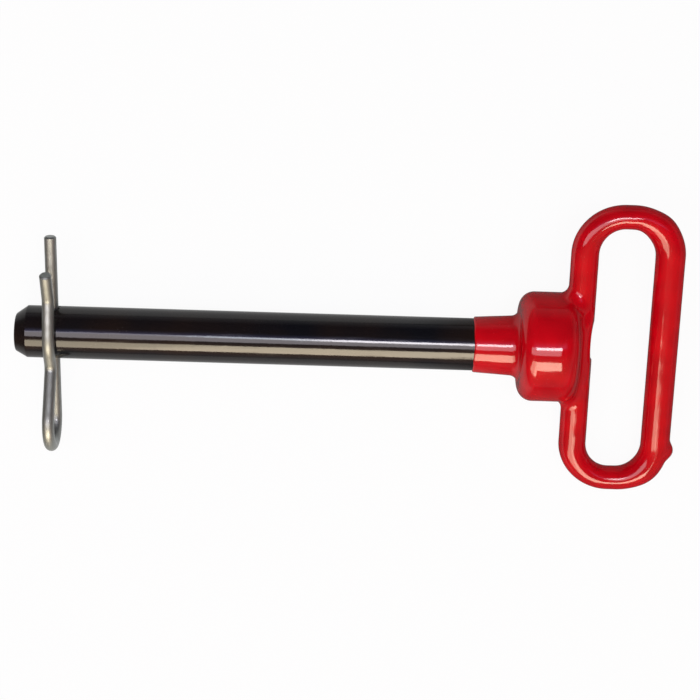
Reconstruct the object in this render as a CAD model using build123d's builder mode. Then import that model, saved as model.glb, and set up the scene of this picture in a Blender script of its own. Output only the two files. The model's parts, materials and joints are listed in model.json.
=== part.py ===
"""Hitch pin with a dipped loop handle and a hairpin clip.

A turned and forged shank carries a collar at one end and a cross hole at the other. A bent round rod is
seated in a groove across the back of the collar and welded there, as the handle. The handle, the collar and
the end of the shank wear a soft dipped coating. A spring wire clip goes through the cross hole and grips
the shank.

The pin lies at rest on a surface: the collar's rim, the edge of the tip and the eye of the clip touch it.
The row frame has +X from the tip to the handle, +Y along the loop's long side and +Z up, with its origin on
the surface below the middle. Every piece is drawn in the pin's own frame, rest_plane, whose local X is the
shank's axis from the tip, local Y the long side of the loop and local Z its front.
"""

import os
from math import asin, atan2, cos, degrees, hypot, pi, radians, sin

from build123d import *

# Forged pin, in millimetres
shank_diameter = 19.05
tip_diameter = 12.7
tip_chamfer_length = 4.3
tip_edge_radius = 0.8
tip_relief = 0.05  # slight taper towards the tip, for an easy start in the hole
shank_length = 183.3  # tip to the collar's front face
neck_draft = 0.1  # slight flare of the shank under the coating, up to the collar
neck_fillet = 2.0
collar_diameter = 38.1
collar_length = 19.3
collar_front_radius = 4.5
collar_back_radius = 2.4

# Cross hole for the clip
hole_diameter = 4.8
hole_from_tip = 13.4
hole_edge_break = 0.5
relief_past_hole = 4.0  # the taper towards the tip starts this far behind the hole

# Handle rod, measured along its centre line
rod_diameter = 7.94
loop_long = 100.3
loop_wide = 30.7
bend_flat_length = 2.7  # straight between the two quarter bends at each end
loop_drop = 0.55  # the loop sits this much low of the shank's axis
rod_behind_collar = 1.83  # near run's centre behind the collar's back face
butt_offset = 3.4  # the joint of the rod's two ends lies this much low of the shank's axis
butt_gap = 0.8
rod_end_break = 0.6

# Weld beads along both sides of the near run
bead_leg = 3.4
bead_reach = 12.5  # from the shank's axis
bead_belly = 0.5

# Coating
coat_thickness = 0.9
coat_on_shank = 17.4  # covered length of shank, up to the collar's front face
neck_draft_lead = 0.6  # bare shank between its flare's start and the coating's edge
coat_neck_start = 0.6  # thickness at its edge
coat_neck_end = 1.55
coat_lip_radius = 0.5
coat_neck_fillet = 2.8
coat_near_run = 1.02
coat_far_run = 1.4
coat_bend_flat = 0.34  # in the plane of the loop, at the middle of each bend
coat_bend_deep = 1.1  # square to that plane
coat_dip_depth = 0.85  # hollow that runs up to the butt joint
coat_dip_length = 14.0
coat_dip_step = 0.55
drip_angle = 8.0
drip_radius = 2.3
drip_height = 1.4

# Hairpin clip: a straight leg, a round eye and a bent leg
wire_diameter = 4.0
leg_above = 35.6  # straight leg past the shank's axis
eye_radius = 9.0
eye_centre = 31.0  # along the straight leg, from the shank's axis
waist_radius = 4.5
waist_along = 12.0
waist_out = 13.1
shoulder_radius = 6.0
shoulder_along = -14.5
shoulder_out = 15.3
bent_leg_above = 25.6
tip_flare = 20.0
grip_clearance = 0.1
clip_swivel = 1.3
clip_lean = 0.9
wire_end_break = 0.5

shank_r = shank_diameter / 2
tip_edge_r = shank_r - tip_relief
relief_x = hole_from_tip + relief_past_hole
collar_r = collar_diameter / 2
rod_r = rod_diameter / 2
wire_r = wire_diameter / 2
near_x = shank_length + collar_length + rod_behind_collar
far_x = near_x + loop_wide
bend_radius = (loop_wide - bend_flat_length) / 2
run_half = loop_long / 2 - bend_radius
loop_top = loop_long / 2 - loop_drop
loop_low = -loop_long / 2 - loop_drop
coat_collar_r = collar_r + coat_thickness
coat_front_x = shank_length - coat_thickness
coat_back_x = shank_length + collar_length + coat_thickness
coat_shoulder_r = collar_front_radius + coat_thickness
coat_back_r = collar_back_radius + coat_thickness
coat_edge_x = shank_length - coat_on_shank
neck_draft_x = coat_edge_x - neck_draft_lead
coat_near_r = rod_r + coat_near_run
coat_far_r = rod_r + coat_far_run
low_bend_y = -run_half - loop_drop
butt_y = -butt_offset
bend_flat_r = rod_r + coat_bend_flat
bend_deep_r = rod_r + coat_bend_deep


def rest_pitch() -> float:
    """Angle of the shank's axis above the surface: a line touches the tip's edge and the collar's shoulder."""
    along = coat_front_x + coat_shoulder_r - tip_chamfer_length
    rise = coat_collar_r - coat_shoulder_r - tip_edge_r
    return asin(coat_shoulder_r / hypot(along, rise)) + atan2(rise, along)


def rest_roll(pitch: float, tip_height: float) -> float:
    """Turn about the shank's axis that brings the clip's eye down to the surface."""
    height = tip_height + hole_from_tip * sin(pitch)
    eye_rise = eye_radius + (wire_r - height) / cos(pitch)
    arm = hypot(eye_centre, eye_radius)
    return pi - asin(eye_rise / arm) - atan2(eye_radius, -eye_centre)


pitch = rest_pitch()
tip_height = tip_edge_r * cos(pitch) - tip_chamfer_length * sin(pitch)
roll = rest_roll(pitch, tip_height)
overall_length = far_x + rod_r + coat_far_run
rest_plane = Plane(
    origin=(-overall_length / 2 * cos(pitch), loop_drop * cos(roll), tip_height),
    x_dir=(cos(pitch), 0, sin(pitch)),
    z_dir=(-sin(pitch) * cos(roll), -sin(roll), cos(pitch) * cos(roll)),
)


def at(x: float, y: float = 0, z: float = 0) -> Vector:
    """Row-frame position of a point given in the pin's own frame."""
    return rest_plane.from_local_coords(Vector(x, y, z))


def across_shank(x: float) -> Plane:
    """Plane square to the shank, x from the tip, with local X along the loop and local Y to its front."""
    return Plane(origin=at(x), x_dir=rest_plane.y_dir, z_dir=rest_plane.x_dir)


def along_loop(y: float, x: float = 0) -> Plane:
    """Plane square to the loop's long side, with local X along the shank and local Y to the back."""
    return Plane(origin=at(x, y), x_dir=rest_plane.x_dir, z_dir=rest_plane.y_dir)


shank_axis = Axis(at(0), rest_plane.x_dir)
loop_normal = Axis((0, 0, 0), rest_plane.z_dir)

# Forged pin: shank and collar turned as one, grooved for the rod and cross drilled for the clip
with BuildPart() as forged_pin:
    with BuildSketch(rest_plane):
        with BuildLine():
            FilletPolyline(
                (0, 0),
                (0, tip_diameter / 2),
                (tip_chamfer_length, tip_edge_r),
                (relief_x, shank_r),
                (neck_draft_x, shank_r),
                (shank_length, shank_r + neck_draft),
                (shank_length, collar_r),
                (shank_length + collar_length, collar_r),
                (shank_length + collar_length, 0),
                radius=[0, tip_edge_radius, 0, 0, 0, neck_fillet, collar_front_radius, collar_back_radius, 0],
                close=True,
            )
        make_face()
    revolve(axis=shank_axis)
    with BuildSketch(along_loop(-collar_r, near_x)):
        Circle(rod_r)
    extrude(amount=collar_diameter, mode=Mode.SUBTRACT)
    with BuildSketch(along_loop(-shank_r, hole_from_tip)):
        Circle(hole_diameter / 2)
    extrude(amount=shank_diameter, mode=Mode.SUBTRACT)
    hole_wall = forged_pin.faces().filter_by(GeomType.CYLINDER).sort_by(SortBy.RADIUS)[0]
    chamfer(hole_wall.edges(), hole_edge_break)
forged_pin.part.label = "forged_pin"

# Handle: a round rod bent into a long loop, its two ends butted behind the collar
with BuildPart() as handle_loop:
    with BuildLine(rest_plane):
        FilletPolyline(
            (near_x, butt_y + butt_gap / 2),
            (near_x, loop_top),
            (far_x, loop_top),
            (far_x, loop_low),
            (near_x, loop_low),
            (near_x, butt_y - butt_gap / 2),
            radius=bend_radius,
        )
    with BuildSketch(along_loop(butt_y + butt_gap / 2, near_x)):
        Circle(rod_r)
    sweep()
    ends = handle_loop.faces().filter_by(GeomType.PLANE)
    chamfer(ends.edges(), rod_end_break)
handle_loop.part.label = "handle_loop"


def bead_outline(face_x: float, run_r: float, side: int) -> None:
    """Section of a weld bead between a flat face and the round run, on one side, with its belly outwards."""
    seat = asin((near_x - face_x) / run_r)
    lean = bead_leg / run_r - seat
    foot = Vector(face_x, side * (run_r * cos(seat) + bead_leg))
    top = Vector(near_x + run_r * sin(lean), side * run_r * cos(lean))
    outwards = (foot - top).rotate(Axis.Z, -90 * side).normalized()
    Line((near_x, 0), (face_x, 0))
    Line((face_x, 0), foot)
    ThreePointArc(foot, (top + foot) / 2 + outwards * bead_belly, top)
    Line(top, (near_x, 0))


# Weld: a bead on each side of the near run, ending on a circle about the shank, and the butt joint's fill
with BuildPart() as handle_weld:
    for side in (1, -1):
        with BuildSketch(along_loop(-bead_reach)):
            with BuildLine():
                bead_outline(shank_length + collar_length, rod_r, side)
            make_face()
        extrude(amount=2 * bead_reach)
    with BuildSketch(across_shank(shank_length + collar_length)):
        Circle(bead_reach)
    extrude(amount=rod_behind_collar + rod_r, mode=Mode.INTERSECT)
    with BuildSketch(along_loop(-collar_r, near_x)):
        Circle(rod_r)
    extrude(amount=collar_diameter, mode=Mode.SUBTRACT)
    with BuildSketch(along_loop(butt_y - butt_gap / 2 - rod_end_break, near_x)):
        Circle(rod_r)
    extrude(amount=butt_gap + 2 * rod_end_break)
    add(handle_loop.part, mode=Mode.SUBTRACT)
handle_weld.part.label = "handle_weld"

# Outer form of the coating over the weld beads
with BuildPart() as covered_beads:
    for side in (1, -1):
        with BuildSketch(along_loop(-bead_reach - coat_thickness)):
            with BuildLine():
                bead_outline(coat_back_x, coat_near_r, side)
            make_face()
        extrude(amount=2 * (bead_reach + coat_thickness))
    with BuildSketch(across_shank(coat_back_x)):
        Circle(bead_reach + coat_thickness)
    extrude(amount=rod_behind_collar + coat_near_r, mode=Mode.INTERSECT)

# Coating: the outer form of the dipped end, with the metal taken out of it
with BuildPart() as handle_coating:
    with BuildSketch(rest_plane):
        with BuildLine():
            FilletPolyline(
                (coat_edge_x, 0),
                (coat_edge_x, shank_r + coat_neck_start),
                (coat_front_x, shank_r + coat_neck_end),
                (coat_front_x, coat_collar_r),
                (coat_back_x, coat_collar_r),
                (coat_back_x, 0),
                radius=[0, coat_lip_radius, coat_neck_fillet, coat_shoulder_r, coat_back_r, 0],
                close=True,
            )
        make_face()
    revolve(axis=shank_axis)
    for run_x, run_r in ((near_x, coat_near_r), (far_x, coat_far_r)):
        with BuildSketch(along_loop(low_bend_y, run_x)):
            Circle(run_r)
        extrude(amount=2 * run_half)
    for side in (1, -1):
        run_end = side * run_half - loop_drop
        bend_top = side * loop_long / 2 - loop_drop
        with BuildLine(rest_plane):
            CenterArc((near_x + bend_radius, run_end), bend_radius, 180, side * -90)
            Line((near_x + bend_radius, bend_top), (far_x - bend_radius, bend_top))
            CenterArc((far_x - bend_radius, run_end), bend_radius, side * 90, side * -90)
        for x, y, across, flat_r, deep_r in (
            (near_x, run_end, rest_plane.x_dir, coat_near_r, coat_near_r),
            (near_x + bend_radius, bend_top, rest_plane.y_dir, bend_flat_r, bend_deep_r),
            (far_x - bend_radius, bend_top, rest_plane.y_dir, bend_flat_r, bend_deep_r),
            (far_x, run_end, rest_plane.x_dir, coat_far_r, coat_far_r),
        ):
            with BuildSketch(Plane(origin=at(x, y), x_dir=across, z_dir=across.rotate(loop_normal, 90))):
                Ellipse(flat_r, deep_r)
        sweep(multisection=True)
    add(covered_beads.part)
    drip_spoke = rest_plane.x_dir.rotate(loop_normal, -drip_angle)
    drip_reach = bend_radius + coat_far_r + drip_height - drip_radius
    with Locations(at(far_x - bend_radius, low_bend_y) + drip_spoke * drip_reach):
        Sphere(drip_radius)
    inner_x = near_x + coat_near_r
    dip_top = (inner_x, butt_y + coat_dip_length)
    dip_middle = (inner_x - coat_dip_depth, butt_y + coat_dip_length / 2)
    dip_edge = (inner_x - coat_dip_step, butt_y)
    with BuildSketch(rest_plane.offset(-coat_near_r)):
        with BuildLine():
            ThreePointArc(dip_top, dip_middle, dip_edge)
            Polyline(dip_edge, (inner_x, butt_y - coat_dip_step), dip_top)
        make_face()
    extrude(amount=2 * coat_near_r, mode=Mode.SUBTRACT)
    for metal in (forged_pin, handle_loop, handle_weld):
        add(metal.part, mode=Mode.SUBTRACT)
handle_coating.part.label = "handle_coating"


def crossing_line(start: Vector, start_r: float, end: Vector, end_r: float) -> tuple[float, Vector, Vector]:
    """Line from the left-hand side of one circle, passed counterclockwise, to another passed clockwise.

    A negative pair of radii swaps the two senses. Gives the line's heading in degrees and its two ends.
    """
    span = end - start
    heading = atan2(span.Y, span.X) + asin((start_r + end_r) / span.length)
    normal = Vector(-sin(heading), cos(heading))
    return degrees(heading) % 360, start - normal * start_r, end + normal * end_r


# Clip: straight leg, eye and bent leg from one wire, in its own plane through the cross hole
leg_dir = (-rest_plane.y_dir).rotate(loop_normal, clip_lean)
clip_normal = (-rest_plane.x_dir).rotate(loop_normal, clip_lean).rotate(Axis((0, 0, 0), leg_dir), clip_swivel)
clip_plane = Plane(origin=at(hole_from_tip), x_dir=leg_dir, z_dir=clip_normal)
eye = Vector(eye_centre, eye_radius)
waist = Vector(waist_along, waist_out)
crown = Vector(0, 0)
crown_r = shank_r + wire_r + grip_clearance
shoulder = Vector(shoulder_along, shoulder_out)
to_waist, eye_end, waist_start = crossing_line(eye, eye_radius, waist, waist_radius)
to_crown, waist_end, crown_start = crossing_line(waist, -waist_radius, crown, -crown_r)
to_shoulder, crown_end, shoulder_start = crossing_line(crown, crown_r, shoulder, shoulder_radius)
flare = 180 - tip_flare
flare_dir = Vector(cos(radians(flare)), sin(radians(flare)))
shoulder_end = shoulder - flare_dir.rotate(Axis.Z, -90) * shoulder_radius
tip_length = (shoulder_end.X + bent_leg_above) / -flare_dir.X
with BuildPart() as hairpin_clip:
    with BuildLine(clip_plane):
        Line((-leg_above, 0), (eye_centre, 0))
        CenterArc(tuple(eye), eye_radius, -90, to_waist)
        Line(tuple(eye_end), tuple(waist_start))
        CenterArc(tuple(waist), waist_radius, to_waist + 90, to_crown - to_waist)
        Line(tuple(waist_end), tuple(crown_start))
        CenterArc(tuple(crown), crown_r, to_crown - 90, to_shoulder - to_crown)
        Line(tuple(crown_end), tuple(shoulder_start))
        CenterArc(tuple(shoulder), shoulder_radius, to_shoulder + 90, flare - to_shoulder)
        Line(tuple(shoulder_end), tuple(shoulder_end + flare_dir * tip_length))
    leg_end = clip_plane.from_local_coords(Vector(-leg_above, 0, 0))
    with BuildSketch(Plane(origin=leg_end, x_dir=clip_plane.y_dir, z_dir=clip_plane.x_dir)):
        Circle(wire_r)
    sweep()
    chamfer(hairpin_clip.faces().filter_by(GeomType.PLANE).edges(), wire_end_break)
hairpin_clip.part.label = "hairpin_clip"

os.makedirs("parts", exist_ok=True)
export_step(forged_pin.part, "parts/forged_pin.step")
export_step(handle_loop.part, "parts/handle_loop.step")
export_step(handle_weld.part, "parts/handle_weld.step")
export_step(handle_coating.part, "parts/handle_coating.step")
export_step(hairpin_clip.part, "parts/hairpin_clip.step")
print("pitch", degrees(pitch), "roll", degrees(roll), "length", overall_length)
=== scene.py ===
"""Hitch pin with a dipped loop handle and a hairpin clip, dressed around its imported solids.

Every piece is worked out in the pin's own frame, in millimetres: x runs along the shank from the tip, y
along the long side of the loop and z out of the loop's front. PinFrame carries it to the row frame, in
metres. The shank is a turned profile with true openings for its cross hole, the clip is a round section
carried along a path of lines and arcs, and the dipped coating is the zero surface of a distance, because
only that gives one skin that flows over the collar, the weld and the rod as a dip does.
"""

import json
import logging
from collections.abc import Callable
from dataclasses import dataclass, field
from enum import Enum
from math import asin, atan2, cos, hypot, pi, radians, sin, tan

import bmesh
import bpy
import numpy as np
from mathutils import Matrix, Vector


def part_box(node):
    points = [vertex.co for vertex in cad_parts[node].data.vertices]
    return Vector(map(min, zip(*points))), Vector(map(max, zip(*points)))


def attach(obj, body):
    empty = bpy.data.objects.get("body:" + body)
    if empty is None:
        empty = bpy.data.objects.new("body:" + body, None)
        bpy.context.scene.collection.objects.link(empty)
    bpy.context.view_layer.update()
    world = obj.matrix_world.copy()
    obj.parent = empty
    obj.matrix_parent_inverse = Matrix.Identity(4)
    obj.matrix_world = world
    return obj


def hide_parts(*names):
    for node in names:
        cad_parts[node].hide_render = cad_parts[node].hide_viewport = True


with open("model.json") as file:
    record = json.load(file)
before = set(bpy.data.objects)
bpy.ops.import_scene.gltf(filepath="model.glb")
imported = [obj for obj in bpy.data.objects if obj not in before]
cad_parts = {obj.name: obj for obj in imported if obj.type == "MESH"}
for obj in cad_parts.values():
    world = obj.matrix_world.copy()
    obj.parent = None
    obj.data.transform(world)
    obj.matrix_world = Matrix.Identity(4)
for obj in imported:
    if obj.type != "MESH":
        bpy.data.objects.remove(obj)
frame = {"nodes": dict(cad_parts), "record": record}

MM = 0.001
NEAR_ZERO = 1e-6
MERGE_DISTANCE = 2e-6
SHORTEST_RUN = 1e-9
FEWEST_ARC_POINTS = 5
ARC_POINTS_PER_MM = 4
log = logging.getLogger("hitch_pin")


class Body(Enum):
    """Bodies that the pieces ride on."""

    PIN = "pin"
    CLIP = "clip"


class Slot(Enum):
    """The record's material slots."""

    BLACK_STEEL = "black_steel"
    ROD_STEEL = "rod_steel"
    RED_DIP = "red_dip"
    PLATED_WIRE = "plated_wire"


class Reach(Enum):
    """What a lamp adds to: all light, reflections alone, or matt light alone."""

    ALL = "all"
    GLOSS = "gloss"
    MATT = "matt"


class Shading(Enum):
    """How a mesh takes its normals: creased by angle, or given for each vertex."""

    CREASED = "creased"
    GIVEN = "given"


# ---------------------------------------------------------------------------------------------------------
# Sizes and frames


@dataclass(frozen=True)
class PinSizes:
    """Sizes of the metal under the finish, in millimetres.

    They are the solids' own but for three. tip_radius is 0.4 mm larger than the solid's, shoulder_radius
    rounds an edge that is sharp on the solid, and back_flow makes the collar's hidden back edge rounder,
    and the skin's with it at the middle of its front, where the dip ran.

    Attributes:
        shank_radius: radius of the plain shank.
        tip_radius: radius of the tip's end face, up to the corner that is rounded.
        tip_chamfer: length of the tip's chamfer.
        tip_edge_radius: rounding between the end face and the chamfer.
        shoulder_radius: rounding between the chamfer and the shank.
        tip_relief: how much thinner the shank is at the chamfer.
        relief_length: distance from the tip at which it has its full radius.
        shank_length: distance from the tip to the collar.
        neck_draft: how much thicker the shank is at the collar.
        neck_draft_x: distance from the tip at which that starts.
        neck_fillet: fillet between the shank and the collar.
        collar_radius: radius of the collar.
        collar_length: its length.
        collar_front_radius: rounding of its edge towards the shank.
        collar_back_radius: rounding of its edge towards the loop, before back_flow.
        hole_radius: radius of the cross hole.
        hole_from_tip: distance of its axis from the tip.
        hole_edge_break: break of its rims.
        rod_radius: radius of the loop's rod.
        loop_long: length of the loop, between the rod's centre lines as its width is.
        loop_wide: its width along the shank.
        bend_radius: radius of its bends, to the centre line.
        loop_drop: how far its middle is off the shank's axis, towards negative y.
        rod_behind_collar: gap between the collar's back and the near run's centre line.
        butt_y: place of the rod's butt joint along the loop.
        back_flow: what is added to the rounding of the collar's back edge.
    """

    shank_radius: float = 9.525
    tip_radius: float = 6.75
    tip_chamfer: float = 4.3
    tip_edge_radius: float = 0.8
    shoulder_radius: float = 0.5
    tip_relief: float = 0.05
    relief_length: float = 17.4
    shank_length: float = 183.3
    neck_draft: float = 0.1
    neck_draft_x: float = 165.3
    neck_fillet: float = 2.0
    collar_radius: float = 19.05
    collar_length: float = 19.3
    collar_front_radius: float = 4.5
    collar_back_radius: float = 2.4
    hole_radius: float = 2.4
    hole_from_tip: float = 13.4
    hole_edge_break: float = 0.5
    rod_radius: float = 3.97
    loop_long: float = 100.3
    loop_wide: float = 30.7
    bend_radius: float = 14.0
    loop_drop: float = 0.55
    rod_behind_collar: float = 1.83
    butt_y: float = -3.4
    back_flow: float = 4.5

    @property
    def near_x(self) -> float:
        """Centre line of the loop's run behind the collar."""
        return self.shank_length + self.collar_length + self.rod_behind_collar

    @property
    def far_x(self) -> float:
        """Centre line of the loop's far run."""
        return self.near_x + self.loop_wide

    @property
    def middle_of_run(self) -> float:
        """Middle of the plain stretch of shank that the drawbar takes."""
        return (self.relief_length + self.neck_draft_x) / 2


def unit(vector: np.ndarray) -> np.ndarray:
    """Vectors divided by their length, along the last axis."""
    vector = np.asarray(vector, dtype=float)
    return vector / np.linalg.norm(vector, axis=-1, keepdims=True)


@dataclass(frozen=True)
class PinFrame:
    """Place of the pin's own frame, and of the clip's plane, in the row frame.

    Attributes:
        origin: centre of the tip's face, in metres.
        axes: directions of x, y and z, as rows.
        clip_axes: directions along the straight leg, across the clip and square to its plane, as rows.
    """

    origin: np.ndarray
    axes: np.ndarray
    clip_axes: np.ndarray

    @classmethod
    def from_record(cls, record: dict, sizes: PinSizes, clip_swivel: float) -> "PinFrame":
        """Finds both frames from the shank's mount and the clip's slide.

        Args:
            record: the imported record.
            sizes: sizes of the pin.
            clip_swivel: turn of the clip's plane about its straight leg, in degrees.

        Returns:
            The frame.
        """
        mount = record["mounts"][0]
        leg = unit(record["behaviour"]["joints"][0]["axis"])
        along = -unit(mount["axis"])
        across = -unit(leg - leg.dot(along) * along)
        front = np.cross(along, across)
        level = unit(leg.dot(along) * leg - along)
        turn = radians(clip_swivel)
        square = level * cos(turn) + np.cross(leg, level) * sin(turn)
        return cls(
            origin=np.array(mount["pos_m"]) - along * sizes.middle_of_run * MM,
            axes=np.array([along, across, front]),
            clip_axes=np.array([leg, np.cross(square, leg), square]),
        )

    def to_row(self, points: np.ndarray) -> np.ndarray:
        """Row-frame positions, in metres, of points given in millimetres in the pin's frame."""
        return self.origin + points * MM @ self.axes

    def clip_to_row(self, points: np.ndarray, hole_from_tip: float) -> np.ndarray:
        """Row-frame positions of points given in the clip's plane, whose origin is in the cross hole."""
        return self.origin + self.axes[0] * hole_from_tip * MM + points * MM @ self.clip_axes


# ---------------------------------------------------------------------------------------------------------
# Mesh making


def grid_quads(rows: int, columns: int, closed: bool) -> np.ndarray:
    """Quads of a grid whose vertices are numbered row by row.

    Args:
        rows: number of vertex rows.
        columns: number of vertex columns.
        closed: joins the last column to the first.

    Returns:
        Array of four vertex numbers for each quad.
    """
    steps = columns if closed else columns - 1
    row, column = np.meshgrid(np.arange(rows - 1), np.arange(steps), indexing="ij")
    beside = (column + 1) % columns
    here, ahead = row * columns, (row + 1) * columns
    corners = (here + column, here + beside, ahead + beside, ahead + column)
    return np.stack(corners, axis=-1).reshape(-1, 4)


def signed_volume(points: np.ndarray, quads: np.ndarray) -> float:
    """Volume inside a closed net of quads: a sixth of the sum of a . (b x c) over its triangles."""
    a, b, c, d = (points[quads[:, i]] for i in range(4))
    return float((a * (np.cross(b, c) + np.cross(c, d))).sum() / 6)


def mesh_object(
    name: str, points: np.ndarray, quads: np.ndarray, shading: Shading, uv: np.ndarray | None = None,
    normals: np.ndarray | None = None, crease: float = 30.0,
) -> bpy.types.Object:
    """Puts a closed net into a mesh object, with its doubles merged and its faces outwards.

    Args:
        name: name of the piece.
        points: row-frame positions, one row each.
        quads: four vertex numbers for each face.
        shading: how the normals are made.
        uv: two coordinates for each corner of each quad, if a pattern follows the surface.
        normals: directions for each vertex, for Shading.GIVEN.
        crease: angle in degrees above which an edge is sharp, for Shading.CREASED.

    Returns:
        The object, at the origin.
    """
    centre = points.mean(axis=0)
    if signed_volume(points - centre, quads) < 0:
        quads = quads[:, ::-1]
        uv = None if uv is None else uv[:, ::-1]
    mesh = bpy.data.meshes.new(name)
    mesh.vertices.add(len(points))
    mesh.loops.add(quads.size)
    mesh.polygons.add(len(quads))
    mesh.vertices.foreach_set("co", points.astype(np.float32).ravel())
    mesh.loops.foreach_set("vertex_index", quads.astype(np.int32).ravel())
    mesh.polygons.foreach_set("loop_start", np.arange(0, quads.size, 4, dtype=np.int32))
    mesh.update(calc_edges=True)
    if uv is not None:
        mesh.uv_layers.new(name="Along").uv.foreach_set("vector", uv.astype(np.float32).ravel())
    mesh.polygons.foreach_set("use_smooth", np.ones(len(quads), dtype=bool))
    if shading is Shading.GIVEN:
        mesh.normals_split_custom_set_from_vertices(normals.astype(np.float32))
    else:
        work = bmesh.new()
        work.from_mesh(mesh)
        bmesh.ops.remove_doubles(work, verts=work.verts, dist=MERGE_DISTANCE)
        work.to_mesh(mesh)
        work.free()
        mesh.set_sharp_from_angle(angle=radians(crease))
    mesh.validate()
    piece = bpy.data.objects.new(name, mesh)
    bpy.context.scene.collection.objects.link(piece)
    return piece


def spaced(start: float, end: float, step: float, margin: float = 0.12) -> np.ndarray:
    """Stations about a step apart, with one more close to each end to hold the shading.

    Args:
        start: first station.
        end: last station.
        step: distance between stations.
        margin: distance of the holding stations from the ends.

    Returns:
        The stations.
    """
    length = abs(end - start)
    if length < 3 * margin:
        return np.array([start, end])
    inner = np.linspace(margin, length - margin, max(2, int(length / step) + 1))
    return start + np.sign(end - start) * np.concatenate([[0.0], inner, [length]])


def rounded_outline(corners: list[tuple[float, float]], radii: list[float], step: float) -> np.ndarray:
    """Open outline through corners, each rounded by an arc.

    An arc of radius r in a corner of half angle h starts r / tan(h) from the corner, and its centre is
    r / sin(h) from it, along the bisector.

    Args:
        corners: points of the outline.
        radii: radius at each corner, 0 where it is sharp and at both ends.
        step: distance between the points of a straight.

    Returns:
        Points of the outline, one row each.
    """
    points = [np.array(corners[0], dtype=float)[None]]
    for i in range(1, len(corners)):
        corner = np.array(corners[i], dtype=float)
        start = points[-1][-1]
        arc = corner[None]
        if radii[i] > 0:
            back, ahead = unit(start - corner), unit(np.array(corners[i + 1], dtype=float) - corner)
            half = np.arccos(np.clip(back.dot(ahead), -1, 1)) / 2
            centre = corner + unit(back + ahead) * radii[i] / sin(half)
            first = corner + back * radii[i] / tan(half) - centre
            last = corner + ahead * radii[i] / tan(half) - centre
            count = max(FEWEST_ARC_POINTS, int(radii[i] * ARC_POINTS_PER_MM))
            share = np.linspace(0, 1, count)[:, None]
            arc = centre + unit(first * (1 - share) + last * share) * radii[i]
        run = arc[0] - start
        length = np.linalg.norm(run)
        if length > SHORTEST_RUN:
            points.append(start + unit(run) * spaced(0, length, step)[1:, None])
        if len(arc) > 1:
            points.append(arc[1:])
    return np.vstack(points)


# ---------------------------------------------------------------------------------------------------------
# Forged pin


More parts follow.
